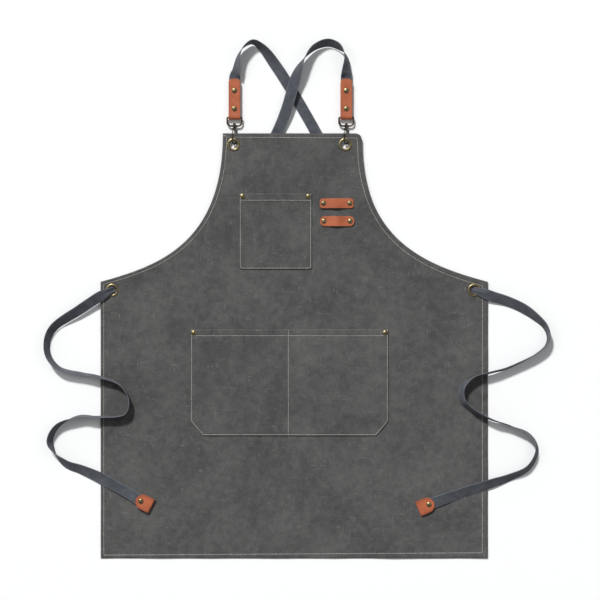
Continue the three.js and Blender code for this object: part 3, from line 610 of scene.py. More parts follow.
def curve_points(corners, count):
    return [bezier(corners, t) for t in steps(0, 1, count)]


right_armhole = curve_points(armhole(BIB_RIGHT, APRON_LENGTH - BIB_CUT[1]), 96)
left_armhole = [Vector((-p.x, p.y)) for p in curve_points(armhole(BIB_LEFT, APRON_LENGTH), 96)]
right_edge = right_armhole + [Vector((BIB_RIGHT - BIB_CUT[0], APRON_LENGTH))]


def reach(edge, height):
    """How far an edge is from the middle at a height above the hem."""
    return float(np.interp(height, [0] + [p.y for p in edge], [edge[0].x] + [p.x for p in edge]))


print("bib width in mm:", round((BIB_LEFT + BIB_RIGHT) / MM, 1))

# %% [markdown]
# Cloth is never flat. Soft ripples of up to two millimetres and one fold across the bib catch the
# light, and die out at the grommets. Everything sewn to the panel uses the same height function.


# %% How high the cloth lies
GROMMET_NAMES = ("bib_grommet_left", "bib_grommet_right", "side_grommet_left", "side_grommet_right")
GROMMETS = {name: sum(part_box(name + "_eyelet"), Vector()) / 2 for name in GROMMET_NAMES}
GROMMET_HOLD = 20 * MM
FOLD_MIDDLE = Vector((-75 * MM, 270 * MM - hem_y))
FOLD_DEPTH, FOLD_REACH, FOLD_RUN = 2.4 * MM, 15 * MM, 85 * MM


def slackness(x, height):
    """0 at a grommet, which pinches the cloth flat, and 1 away from it."""
    gaps = [math.dist((x, hem_y + height), middle.xy) for middle in GROMMETS.values()]
    return 1 - math.exp(-((min(gaps) / GROMMET_HOLD) ** 4))


def ripple(x, y):
    broad = noise.noise(Vector((x * 9, y * 7, 3.1)))
    folds = noise.noise(Vector(((x - y) * 14, (x + y) * 3.5, 7.7)))
    small = noise.noise(Vector((x * 48, y * 48, 1.9)))
    return (0.85 * broad + 1.7 * folds + 0.24 * small) * MM


def back_height(height):
    return HEM_FOLD + BIB_LIFT * (height / APRON_LENGTH) ** 2


def bib_fold(x, height):
    """One soft fold that runs up across the bib from the left armhole."""
    right, up = x - FOLD_MIDDLE.x, height - FOLD_MIDDLE.y
    off, along = (right - up) / math.sqrt(2), (right + up) / math.sqrt(2)
    return FOLD_DEPTH * math.exp(-((off / FOLD_REACH) ** 2) - (along / FOLD_RUN) ** 2)


def cloth_top(x, height):
    """The panel's front face at x and a height above the hem."""
    rise = 0.4 * MM + ripple(x, height) + bib_fold(x, height)
    return back_height(height) + CLOTH + rise * slackness(x, height)


# %% [markdown]
# Grommets pinch the cloth, so the panel has real holes. The faces inside each hole are removed,
# and the rim that is left is pulled out to a clean circle that the flange then covers.

# %% Panel cloth
EDGE_INSET = 1.2 * MM
CLOTH_HOLE = 9.2 * MM


def panel_cloth():
    heights = steps(EDGE_INSET, SIDE_LENGTH, 104) + [p.y for p in left_armhole[1:-1]]
    heights.append(APRON_LENGTH - EDGE_INSET)
    mesh = bmesh.new()

    def place(u, height):
        low = reach(left_armhole, height) + EDGE_INSET
        high = reach(right_edge, height) - EDGE_INSET
        x = low + (high - low) * u
        return Vector((x, hem_y + height, cloth_top(x, height)))

    bent_grid(mesh, steps(0, 1, 144), heights, place)
    for middle in GROMMETS.values():
        flat = Vector((middle.x, middle.y))
        inside = [
            face
            for face in mesh.faces
            if (face.calc_center_median().xy - flat).length < CLOTH_HOLE
        ]
        bmesh.ops.delete(mesh, geom=inside, context="FACES")
        for vert in mesh.verts:
            away = vert.co.xy - flat
            if vert.is_boundary and away.length < 2 * CLOTH_HOLE:
                vert.co.xy = flat + away.normalized() * CLOTH_HOLE
    piece = as_piece("apron_cloth", mesh, "waxed_canvas", ["apron_panel"])
    thicken(piece, CLOTH, -1)
    return piece


apron_cloth = panel_cloth()
print("panel faces:", len(apron_cloth.data.polygons))

# %% [markdown]
# ## The turned hem
# Every edge is folded to the back and sewn down, which makes a soft raised border that puckers
# between its stitches. It is a closed section swept along each edge. Edges meet in a mitre: the
# deeper a point lies in the hem, the sooner its run ends, by the tangent of half the turn.

# %% Edges of the panel
bottom = [Vector((x, 0)) for x in steps(-HALF_WIDTH, HALF_WIDTH, 176)]
right_side = [Vector((HALF_WIDTH, y)) for y in steps(0, SIDE_LENGTH, 126)]
corner_ends = (right_armhole[-1], right_edge[-1])
corner_pull = Vector((BIB_RIGHT - 2.5 * MM, APRON_LENGTH - 3 * MM))
bib_corner = curve_points((corner_ends[0], corner_pull, corner_pull, corner_ends[1]), 8)
top = [Vector((x, APRON_LENGTH)) for x in steps(right_edge[-1].x, -BIB_LEFT, 62)]
left_side = [Vector((-HALF_WIDTH, y)) for y in steps(SIDE_LENGTH, 0, 126)]
HEM_EDGES = [bottom, right_side, right_armhole, bib_corner, top, left_armhole[::-1], left_side]


def hem_depth(x):
    """Depth of the hem's stitch: the hem is turned deeper on the right than on the left."""
    return (7.7 + 2.1 * x / HALF_WIDTH) * MM


class Edge:
    """One edge of the panel, with the panel on its left hand."""

    def __init__(self, points, before, after):
        self.points = points
        gaps = [(q - p).length for p, q in zip(points, points[1:])]
        self.travel = np.cumsum([0] + gaps)
        self.length = float(self.travel[-1])
        first = (points[1] - points[0]).normalized()
        last = (points[-1] - points[-2]).normalized()
        arriving = (before[-1] - before[-2]).normalized()
        leaving = (after[1] - after[0]).normalized()
        turns = ((arriving, first), (last, leaving))
        self.trims = [abs(math.tan(a.angle_signed(b) / 2)) for a, b in turns]

    def at(self, share, depth):
        """The point at a share of the edge's length and a depth inside the edge."""
        start, end = depth * self.trims[0], self.length - depth * self.trims[1]
        run = start + (end - start) * share
        x, y = [float(np.interp(run, self.travel, [p[k] for p in self.points])) for k in (0, 1)]
        i = min(max(int(np.searchsorted(self.travel, run)), 1), len(self.points) - 1)
        ahead = (self.points[i] - self.points[i - 1]).normalized()
        return Vector((x - ahead.y * depth, y + ahead.x * depth))


edges = [
    Edge(points, HEM_EDGES[i - 1], HEM_EDGES[(i + 1) % len(HEM_EDGES)])
    for i, points in enumerate(HEM_EDGES)
]
print("hem length in mm:", round(sum(edge.length for edge in edges) / MM))

# %% Hem
# Pairs of depth, as a share of the stitch's depth, and height over the cloth in millimetres.
HEM_SECTION = [
    (1.26, -0.3), (1.14, 0.05), (1.0, 0.02), (0.9, 0.3), (0.7, 0.48), (0.35, 0.5), (0.12, 0.32),
    (0.0, -0.2), (0.0, -1.3), (0.12, -1.9), (0.4, -2.3), (1.05, -2.3), (1.12, -1.9), (1.12, -1.0),
    (1.26, -0.3),
]


def hem_place(edge, share, depth_share, lift):
    outer = edge.at(share, 0)
    spot = edge.at(share, depth_share * hem_depth(outer.x))
    wander = 0.7 * MM * noise.noise(Vector((outer.x * 22, outer.y * 22, 5.5)))
    pucker = 0.35 * noise.noise(Vector((outer.x * 130, outer.y * 130, 2.2)))
    inward = (spot - outer).normalized() if depth_share else Vector((0, 0))
    spot = spot - inward * wander * (1 - min(1, depth_share))
    swell = pucker if lift > 0.1 else 0
    return Vector((spot.x, hem_y + spot.y, cloth_top(spot.x, spot.y) + (lift + swell) * MM))


def make_hem():
    mesh = bmesh.new()
    for edge in edges:
        shares = steps(0, 1, max(4, round(edge.length / 0.0035)))

        def place(index, share):
            depth_share, lift = HEM_SECTION[round(index)]
            return hem_place(edge, share, depth_share, lift)

        bent_grid(mesh, list(range(len(HEM_SECTION))), shares, place)
    bmesh.ops.remove_doubles(mesh, verts=mesh.verts, dist=1e-5)
    bmesh.ops.recalc_face_normals(mesh, faces=mesh.faces)
    return as_piece("turned_hem", mesh, "waxed_canvas", crease=70)


turned_hem = make_hem()
print("hem faces:", len(turned_hem.data.polygons))

# %% [markdown]
# ## Stitches
# A lockstitch shows as a row of short, plump beads of thread with a small dip between them. Each
# bead is a low-sided sphere drawn out along the row, because there are over a thousand of them.

# %% Rows of stitches
STITCH = 3.4 * MM
THREAD_WIDE = 0.95 * MM
THREAD_HIGH = 0.75 * MM
LENGTHWISE = Matrix.Rotation(math.pi / 2, 4, "Y")


def stitch_row(mesh, points):
    """Adds stitches along a line of points."""
    travel = np.cumsum([0] + [(q - p).length for p, q in zip(points, points[1:])])
    count = max(1, round(float(travel[-1]) / STITCH))

    def at(run):
        return Vector([float(np.interp(run, travel, [p[k] for p in points])) for k in range(3)])

    for i in range(count):
        start, end = [at(float(travel[-1]) * (i + part) / count) for part in (0.06, 0.94)]
        ahead = end - start
        turn = ahead.to_track_quat("X", "Z").to_matrix().to_4x4()
        size = Matrix.Diagonal((ahead.length / 2, THREAD_WIDE / 2, THREAD_HIGH / 2, 1))
        spot = Matrix.Translation((start + end) / 2)
        bmesh.ops.create_uvsphere(
            mesh, u_segments=6, v_segments=5, radius=1, matrix=spot @ turn @ size @ LENGTHWISE
        )
    return count


def over_hem(edge):
    places = []
    for share in steps(0, 1, round(edge.length / 0.003)):
        depth = hem_depth(edge.at(share, 0).x)
        spot = edge.at(share, depth)
        places.append(Vector((spot.x, hem_y + spot.y, cloth_top(spot.x, spot.y) + 0.22 * MM)))
    return places


hem_stitches = bmesh.new()
made = sum(stitch_row(hem_stitches, over_hem(edge)) for edge in edges)
TACK_SPOT = Vector((-BIB_LEFT + 3.5 * MM, APRON_LENGTH - 4.5 * MM))
for i in range(3):
    x = TACK_SPOT.x + (i - 1) * 1.9 * MM
    ends = [Vector((x, hem_y + TACK_SPOT.y + s * 1.7 * MM, 0)) for s in (-1, 1)]
    for end in ends:
        end.z = cloth_top(end.x, end.y - hem_y) + 0.95 * MM
    made += stitch_row(hem_stitches, ends)
as_piece("hem_stitches", hem_stitches, "waxed_canvas", finish=thread)
print("hem stitches:", made)

# %% [markdown]
# ## Pockets
# A patch pocket is a second piece of canvas with its raw edges folded under and sewn to the
# panel on three sides. Its mouth has a hem of its own and stands a little open. The two lower
# corners are cut, the hip pocket's far more than the chest pocket's.

# %% Pocket shapes
CHEST = {
    "left": -99.5 * MM,
    "low": 522.5 * MM,
    "width": 131.4 * MM,
    "height": 137.2 * MM,
    "cut": (3 * MM, 3 * MM),
    "mouth_stitch": 12.7 * MM,
    "divider": None,
    "bow": 3.6 * MM,
}
HIP = {
    "left": -187.8 * MM,
    "low": 221.5 * MM,
    "width": 358.2 * MM,
    "height": 193.1 * MM,
    "cut": (22 * MM, 26 * MM),
    "mouth_stitch": 12 * MM,
    "divider": 177 * MM,
    "bow": 3.8 * MM,
}
CLOSE_IN = [d * MM for d in (0, 0.12, 0.3, 0.6, 1.2, 1.7, 2.2, 2.7, 3.4, 5)]


def pocket_inset(pocket, up):
    """How far the side edge comes in at a height above the pocket's bottom."""
    wide, high = pocket["cut"]
    return wide * max(0, 1 - up / high)


def pocket_top(pocket, x, up, border):
    """Height of the pocket's face: sewn down at its borders, bowed between them."""
    across = x - pocket["left"]
    divider = pocket["divider"]
    start, end = 0, pocket["width"]
    if divider:
        start, end = (0, divider) if across < divider else (divider, pocket["width"])
    u = min(max((across - start) / (end - start), 0), 1)
    open_share = min(max(up / pocket["height"], 0), 1) ** 1.6
    bow = pocket["bow"] * math.sin(math.pi * u) ** 1.3 * open_share
    fold = 1 - math.exp(-((border / (0.28 * MM)) ** 2))
    seam = 0.5 * math.exp(-(((border - 2.2 * MM) / (0.7 * MM)) ** 2))
    if divider:
        seam += 0.9 * math.exp(-(((across - divider) / (1.2 * MM)) ** 2))
    from_mouth = pocket["height"] - up
    hem_step = 0.45 if from_mouth < pocket["mouth_stitch"] + 0.8 * MM else 0.0
    groove = 0.5 * math.exp(-(((from_mouth - pocket["mouth_stitch"]) / (0.8 * MM)) ** 2))
    puff = 0.5 * noise.noise(Vector((x * 40, up * 40, 4.4)))
    pucker = 0.3 * math.exp(-(border / (6 * MM))) * noise.noise(Vector((x * 150, up * 150, 8.8)))
    roll = 1.3 * math.exp(-((from_mouth / (1.3 * MM)) ** 2))
    lift = (0.15 + 2.0 * fold - seam + hem_step - groove - roll + (puff + pucker) * fold) * MM
    return cloth_top(x, pocket["low"] + up) + lift + bow


def pocket_border(pocket, x, up):
    """Distance to the nearest sewn edge."""
    across = x - pocket["left"]
    wide, high = pocket["cut"]
    side = min(across, pocket["width"] - across)
    slant = (side * high + up * wide - wide * high) / math.hypot(wide, high)
    return max(0.0, min(side, up, slant))


def make_pocket(name, pocket, node):
    ups = edged_steps(0, pocket["height"], 4.5 * MM, CLOSE_IN)
    stitch = pocket["height"] - pocket["mouth_stitch"]
    near_stitch = [stitch + d * MM for d in (-1.6, -0.8, 0, 0.8, 1.6)]
    ups = sorted([u for u in ups if abs(u - stitch) > 2.2 * MM] + near_stitch)
    columns = edged_steps(0, pocket["width"], 4.2 * MM, CLOSE_IN)
    if pocket["divider"]:
        near = [pocket["divider"] + d * MM for d in (-2.4, -1.2, 0, 1.2, 2.4)]
        columns = sorted([c for c in columns if abs(c - pocket["divider"]) > 3.2 * MM] + near)
    mesh = bmesh.new()

    def place(across, up):
        inset = pocket_inset(pocket, up)
        room = pocket["width"] - 2 * inset
        x = pocket["left"] + inset + across / pocket["width"] * room
        wave = 0.4 * MM * noise.noise(Vector((x * 30, up * 30, 6.1)))
        y = hem_y + pocket["low"] + up + (wave if up > 0.9 * pocket["height"] else 0)
        return Vector((x, y, pocket_top(pocket, x, up, pocket_border(pocket, x, up))))

    bent_grid(mesh, columns, ups, place)
    piece = as_piece(name, mesh, "waxed_canvas", [node])
    thicken(piece, CLOTH, -1)
    return piece


chest_cloth = make_pocket("chest_pocket_cloth", CHEST, "chest_pocket")
hip_cloth = make_pocket("hip_pocket_cloth", HIP, "hip_pocket")
print("pocket faces:", len(chest_cloth.data.polygons), len(hip_cloth.data.polygons))

# %% [markdown]
# Each pocket has one row of stitches down its sides and along its bottom, one across its mouth
# hem, and the hip pocket has one more up its divider. The rows lie in the dips that the cloth
# already has for them.

# %% Pocket stitches
SEAM_INSET = 2.2 * MM


def on_pocket(pocket, across, up):
    x = pocket["left"] + across
    border = max(SEAM_INSET, pocket_border(pocket, x, up))
    height = pocket_top(pocket, x, up, border) + 0.22 * MM
    return Vector((x, hem_y + pocket["low"] + up, height))


def pocket_line(pocket, start, end):
    count = max(2, round(math.dist(start, end) / (3 * MM)))
    across, up = end[0] - start[0], end[1] - start[1]
    return [on_pocket(pocket, start[0] + across * t, start[1] + up * t) for t in steps(0, 1, count)]


def sew_pocket(name, pocket):
    mesh = bmesh.new()
    width, height = pocket["width"], pocket["height"]
    wide, high = pocket["cut"]
    s = SEAM_INSET
    lean = s * math.tan(math.atan2(high, wide) / 2)
    rise = s * math.tan(math.atan2(wide, high) / 2)
    outline = [
        (s, height - 0.5 * MM),
        (s, high + rise),
        (wide + lean, s),
        (width - wide - lean, s),
        (width - s, high + rise),
        (width - s, height - 0.5 * MM),
    ]
    count = sum(stitch_row(mesh, pocket_line(pocket, a, b)) for a, b in zip(outline, outline[1:]))
    mouth = height - pocket["mouth_stitch"]
    count += stitch_row(mesh, pocket_line(pocket, (s, mouth), (width - s, mouth)))
    if pocket["divider"]:
        divider = pocket["divider"]
        count += stitch_row(mesh, pocket_line(pocket, (divider, s), (divider, height - 0.5 * MM)))
    as_piece(name, mesh, "waxed_canvas", finish=thread)
    return count


for name, pocket in (("chest_pocket_stitches", CHEST), ("hip_pocket_stitches", HIP)):
    print(name + ":", sew_pocket(name, pocket))

# %% [markdown]
# ## Round hardware
# Rivets and grommets are pressed from sheet brass, so every one is a turned shape: half of its
# section is drawn once and spun about its own axis.


# %% Spun shapes
def spun(mesh, profile, centre, sides=32):
    """Spins a closed section of (radius, height) pairs about an upright axis at centre."""
    before = set(mesh.verts)
    verts = [mesh.verts.new((radius, 0, height)) for radius, height in profile]
    ring = [mesh.edges.new(pair) for pair in zip(verts, verts[1:] + verts[:1])]
    bmesh.ops.spin(
        mesh,
        geom=verts + ring,
        cent=(0, 0, 0),
        axis=(0, 0, 1),
        angle=2 * math.pi,
        steps=sides,
        use_merge=True,
    )
    made = [vert for vert in mesh.verts if vert not in before]
    bmesh.ops.translate(mesh, verts=made, vec=centre)
    return made


def turned_piece(name, profile, centre, node, sides=32):
    mesh = bmesh.new()
    spun(mesh, [(r * MM, h * MM) for r, h in profile], centre, sides)
    close_up(mesh)
    return as_piece(name, mesh, "antique_brass", [node], crease=35)


# %% Grommets
EYELET = [
    (8.1, 0.0), (11.2, 0.0), (11.65, 0.08), (11.8, 0.25), (11.72, 0.42), (11.3, 0.62), (10.5, 0.82),
    (9.6, 0.9), (8.7, 0.82), (8.0, 0.6), (7.6, 0.25), (7.4, -0.3), (7.4, -2.3), (7.7, -2.75),
    (8.4, -2.95), (9.3, -2.8), (9.8, -2.35), (9.7, -2.1), (8.6, -2.25), (8.1, -1.9),
]
WASHER = [(8.4, -0.9), (8.4, -1.4), (11.1, -1.4), (11.4, -1.25), (11.4, -1.05), (11.1, -0.9)]

for name, middle in GROMMETS.items():
    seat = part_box(name + "_eyelet")[1].z - 0.9 * MM
    centre = Vector((middle.x, middle.y, seat))
    turned_piece(name + "_ring", EYELET, centre, name + "_eyelet", sides=56)
    turned_piece(name + "_backing", WASHER, centre, name + "_washer", sides=48)
print("grommets:", len(GROMMETS))

# %% [markdown]
# A double-cap rivet has a low dome with a rolled rim on each face. On pockets and tool loops the
# cap stands on the rippled cloth or leather below it, and elsewhere at the height of the frame.

# %% Rivets
RIVET_CAP = [
    (0, 0), (4.35, 0), (4.65, 0.15), (4.7, 0.4), (4.5, 0.62), (4.05, 0.7), (3.9, 0.78), (3.4, 1.1),
    (2.5, 1.42), (1.3, 1.6), (0, 1.65),
]
RIVET_BACK = [(0, 0), (4.3, 0), (4.7, 0.2), (4.7, 0.45), (4.0, 0.75), (2.2, 1.05), (0, 1.1)]


def rivet(node, seat=None):
    """A rivet whose cap stands at the given height, or where the frame has it."""
    low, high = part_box(node + "_cap")
    back_low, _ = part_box(node + "_back")
    middle = (low + high) / 2
    centre = Vector((middle.x, middle.y, high.z - 1.4 * MM if seat is None else seat))
    turned_piece(node + "_dome", RIVET_CAP, centre, node + "_cap")
    low_centre = Vector((centre.x, centre.y, back_low.z + 1.3 * MM))
    back = [(r, -h) for r, h in RIVET_BACK]
    turned_piece(node + "_foot", back, low_centre, node + "_back")
    return centre


def pocket_seat(pocket, node):
    middle = sum(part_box(node + "_cap"), Vector()) / 2
    up = middle.y - hem_y - pocket["low"]
    return pocket_top(pocket, middle.x, up, pocket_border(pocket, middle.x, up)) + 0.3 * MM


def loop_seat(level):
    """Where a tool loop's leather tops out: both its rivets stand at the higher one's height."""
    tops = []
    for side in ("left", "right"):
        middle = sum(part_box(f"tool_loop_{level}_rivet_{side}_cap"), Vector()) / 2
        tops.append(cloth_top(middle.x, middle.y - hem_y))
    return max(tops) + TOOL_LEATHER + 0.4 * MM


TOOL_LEATHER = 1.8 * MM
rivets = {}
for side in ("left", "right"):
    for name, pocket in (("chest_pocket_rivet", CHEST), ("hip_pocket_rivet", HIP)):
        node = f"{name}_{side}"
        rivets[node] = rivet(node, pocket_seat(pocket, node))
    for level in ("upper", "lower"):
        node = f"tool_loop_{level}_rivet_{side}"
        rivets[node] = rivet(node, loop_seat(level))
        rivets[f"tab_rivet_{side}_{level}"] = rivet(f"tab_rivet_{side}_{level}")
    rivets[f"tie_tip_rivet_{side}"] = rivet(f"tie_tip_rivet_{side}")
print("rivets:", len(rivets))

# %% [markdown]
# ## Leather
# Every leather piece is a strip with rounded ends. The shoulder tabs are folded round the bar of
# their hooks, the tie tips round the straps' ends, and the tool loops arch between two rivets.
# A rivet presses the leather into a shallow dish.


# %% Strips of leather
ROUND_ENDS = [d * MM for d in (0, 0.25, 0.8, 1.8, 3.2)]


def dish(x, y, spots):
    """How far rivets press the leather down at a point."""
    gaps = [((x - s.x) ** 2 + (y - s.y) ** 2) / (5 * MM) ** 2 for s in spots]
    return sum(0.45 * MM * math.exp(-gap) for gap in gaps)


def end_share(distance, corner):
    """How much of the corner's radius a rounded end takes off at a distance from the end."""
    t = min(max(distance / corner, 0), 1)
    return 1 - math.sqrt(max(0, 1 - (1 - t) ** 2))


# %% Tool loops
TOOL_LOOPS = {
    "upper": (61 * MM, 17.6 * MM, 5 * MM),
    "lower": (62 * MM, 18 * MM, 8.5 * MM),
}


def tool_loop(level, length, width, corner):
    spots = [rivets[f"tool_loop_{level}_rivet_{side}"] for side in ("left", "right")]
    middle = (spots[0] + spots[1]) / 2
    seat = middle.z - TOOL_LEATHER + 0.25 * MM
    mesh = bmesh.new()
    alongs = edged_steps(-length / 2, length / 2, 1.6 * MM, ROUND_ENDS)

    def place(across, along):
        shrink = corner * end_share(length / 2 - abs(along), corner)
        y = across * (1 - shrink / (width / 2))
        arch = 2.4 * MM * (1 + math.cos(2 * math.pi * along / (37 * MM))) / 2
        rise = arch if abs(along) < 18.5 * MM else 0
        x = middle.x + along
        z = seat + TOOL_LEATHER / 2 + rise - dish(x, middle.y + y, spots)
        return Vector((x, middle.y + y, z))

    bent_grid(mesh, steps(-width / 2, width / 2, 12), alongs, place)
    piece = as_piece(f"tool_loop_{level}_leather", mesh, "leather", [f"tool_loop_{level}"])
    thicken(piece, TOOL_LEATHER, 0, 0.4 * MM)


for level, sizes in TOOL_LOOPS.items():
    tool_loop(level, *sizes)

# %% Shoulder tabs
TAB = {"width": 21 * MM, "leather": 2.2 * MM, "gap": 2 * MM, "corner": 7 * MM, "reach": 69.5 * MM}
BAR_ROOM = 1.8 * MM
BAR_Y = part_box("hook_loop_left")[1].y - 1.5 * MM
BAR_Z = 5.6 * MM


def shoulder_tab(side):
    low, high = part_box(f"shoulder_tab_{side}")
    x = (low.x + high.x) / 2
    spots = [rivets[f"tab_rivet_{side}_{level}"] for level in ("lower", "upper")]
    layer = (TAB["gap"] + TAB["leather"]) / 2
    turn = BAR_ROOM + TAB["leather"] / 2
    straight = TAB["reach"]
    half_turn = math.pi * turn
    total = 2 * straight + half_turn
    runs = edged_steps(0, total, 1.9 * MM, ROUND_ENDS)

    def place(across, run):
        shrink = TAB["corner"] * end_share(min(run, total - run), TAB["corner"])
        px = x + across * (1 - shrink / (TAB["width"] / 2))
        if run < straight:
            y, z = straight - run, layer
        elif run > straight + half_turn:
            y, z = run - straight - half_turn, -layer
        else:
            angle = (run - straight) / turn
            y, z = -turn * math.sin(angle), turn * math.cos(angle)
        if y > 0:
            blend = math.exp(-((y / (7 * MM)) ** 2))
            z = math.copysign(layer + (turn - layer) * blend, z)
            z -= math.copysign(dish(px, BAR_Y + y, spots), z)
        return Vector((px, BAR_Y + y, BAR_Z + z))

    mesh = bmesh.new()
    bent_grid(mesh, steps(-TAB["width"] / 2, TAB["width"] / 2, 12), runs, place)
    piece = as_piece(f"shoulder_tab_{side}_leather", mesh, "leather", [f"shoulder_tab_{side}"])
    thicken(piece, TAB["leather"], 0, 0.45 * MM)


for side in ("left", "right"):
    shoulder_tab(side)
print("tab bar at y in mm:", round(BAR_Y / MM, 2))

# %% Tie tips
TIP = {"width": 27 * MM, "length": 31 * MM, "leather": 1.6 * MM, "gap": 2 * MM, "corner": 13.4 * MM}
FOLD_OVER = 2.6 * MM


def tie_tip(side, strap_side):
    middles = straps[strap_side][1]
    end = middles[-1]
    heading = (middles[-1] - middles[-5]).normalized()
    across_way = UP.cross(heading).normalized()
    layer = (TIP["gap"] + TIP["leather"]) / 2
    straight = TIP["length"] - FOLD_OVER
    total = 2 * straight + math.pi * layer
    runs = edged_steps(0, total, 1.7 * MM, [0, 0.2 * MM, 0.7 * MM, 1.6 * MM, 3.0 * MM])
    spot = rivets[f"tie_tip_rivet_{side}"]

    def place(across, run):
        shrink = TIP["corner"] * end_share(min(run, total - run), TIP["corner"])
        sideways = across * (1 - shrink / (TIP["width"] / 2))
        if run < straight:
            ahead, z = run - straight, layer
        elif run > total - straight:
            ahead, z = total - straight - run, -layer
        else:
            angle = (run - straight) / layer
            ahead, z = layer * math.sin(angle), layer * math.cos(angle)
        point = end + heading * ahead + across_way * sideways
        if ahead < 0:
            z -= math.copysign(dish(point.x, point.y, [spot]) * 0.7, z)
        return point + UP * z

    mesh = bmesh.new()
    bent_grid(mesh, steps(-TIP["width"] / 2, TIP["width"] / 2, 14), runs, place)
    piece = as_piece(f"tie_tip_{side}_leather", mesh, "leather", [f"tie_tip_{side}"])
    thicken(piece, TIP["leather"], 0, 0.35 * MM)
    return piece


tips = {"left": tie_tip("right", "left"), "right": tie_tip("left", "right")}

# %% [markdown]
# ## Snap hooks
# Each shoulder tab ends in a wire loop with a swivel eye. The claw turns in that eye, and its
# sprung gate opens inwards to let the grommet in. Wire is a round section swept along a flat
# path. The claw stands at 44 degrees, because its front leg lies on the cloth and its back leg
# passes under it.


# %% Wire
def wire(mesh, path, radius, closed=False, sides=12):
    """Adds a round wire along a flat path of (x, y) points, with round ends if it's open."""
    points = [Vector((*p, 0)) for p in path]
    tangents = []
    for i in range(len(points)):
        before = points[i - 1] if i or closed else points[0]
        after = points[(i + 1) % len(points)] if i + 1 < len(points) or closed else points[-1]
        tangents.append((after - before).normalized())
    stations = [(p, t, 1.0) for p, t in zip(points, tangents)]
    if closed:
        stations.append(stations[0])
    else:
        bends = [math.radians(a) for a in (0, 25, 50, 72)]
        start, end = stations[0], stations[-1]
        head = [(start[0] - start[1] * radius * math.cos(a), start[1], math.sin(a)) for a in bends]
        tail = [(end[0] + end[1] * radius * math.cos(a), end[1], math.sin(a)) for a in reversed(bends)]
        stations = head + stations + tail

    def place(angle, index):
        point, tangent, share = stations[round(index)]
        side = Vector((-tangent.y, tangent.x, 0))
        return point + (side * math.cos(angle) + UP * math.sin(angle)) * radius * share

    turns = steps(0, 2 * math.pi, sides)
    return bent_grid(mesh, turns, list(range(len(stations))), place)


def arc(centre, radius, start, end, count=10):
    angles = steps(math.radians(start), math.radians(end), count)
    return [(centre[0] + radius * math.cos(a), centre[1] + radius * math.sin(a)) for a in angles]


def barrel(mesh, profile, matrix, sides=28):
    """Spins a closed section about the wire's own Y axis, then places it."""
    made = spun(mesh, profile, Vector(), sides)
    bmesh.ops.transform(mesh, matrix=matrix @ Matrix.Rotation(-math.pi / 2, 4, "X"), verts=made)


# %% Put a hook's part in its place
def hook_part(name, mesh, matrix, node, body):
    bmesh.ops.transform(mesh, matrix=matrix, verts=mesh.verts)
    close_up(mesh)
    return as_piece(name, mesh, "dark_brass", [node], body)


# %% Hook loops
LOOP = {"half": 13 * MM, "drop": 15.5 * MM, "wire": 1.65 * MM, "top": 2.4 * MM, "bottom": 6.5 * MM}
EYE = {"radius": 3.4 * MM, "half": 2.4 * MM, "bore": 1.7 * MM}


def hook_loop(side, x):
    half, drop = LOOP["half"], LOOP["drop"]
    low, high = LOOP["bottom"], LOOP["top"]
    path = [(-2.2 * MM, -drop)] + arc((low - half, low - drop), low, 270, 180)
    path += arc((high - half, -high), high, 180, 90, 6)
    path += [(v, 0) for v in steps(-half + high + 1 * MM, half - high - 1 * MM, 8)]
    path += arc((half - high, -high), high, 90, 0, 6)
    path += arc((half - low, low - drop), low, 0, -90) + [(2.2 * MM, -drop)]
    mesh = bmesh.new()
    wire(mesh, path, LOOP["wire"], sides=14)
    r, h, b = EYE["radius"], EYE["half"], EYE["bore"]
    inner, cut = r - 0.5 * MM, h - 0.5 * MM
    ring = [(b, -h), (inner, -h), (r, -cut), (r, cut), (inner, h), (b, h)]
    barrel(mesh, ring, Matrix.Translation((0, -drop, 0)))
    place = Matrix.Translation((x, BAR_Y, BAR_Z))
    hook_part(f"loop_wire_{side}", mesh, place, f"hook_loop_{side}", f"loop_{side}")


# %% [markdown]
# The claw is one forging: a post with a head inside the eye, a neck, a fork that holds the gate's
# pin, and a hooked wire that thins to its nose.

# %% Claws, gates, pins and springs
CLAW = {"tilt": math.radians(44), "wire": 1.25 * MM, "half": 5.5 * MM, "arc": 27 * MM, "nose": 14 * MM}
NECK_DROP = 5.4 * MM
PIN = Vector((-2.6 * MM, -6.4 * MM, 0))
GATE_LEAN = math.radians(22.5)
GATE_LENGTH = 6.3 * MM


def claw_frame(x):
    seat = Matrix.Translation((x, BAR_Y - LOOP["drop"], BAR_Z))
    return seat @ Matrix.Rotation(CLAW["tilt"], 4, "Y")


def pin_frame(x):
    return claw_frame(x) @ Matrix.Translation(PIN)


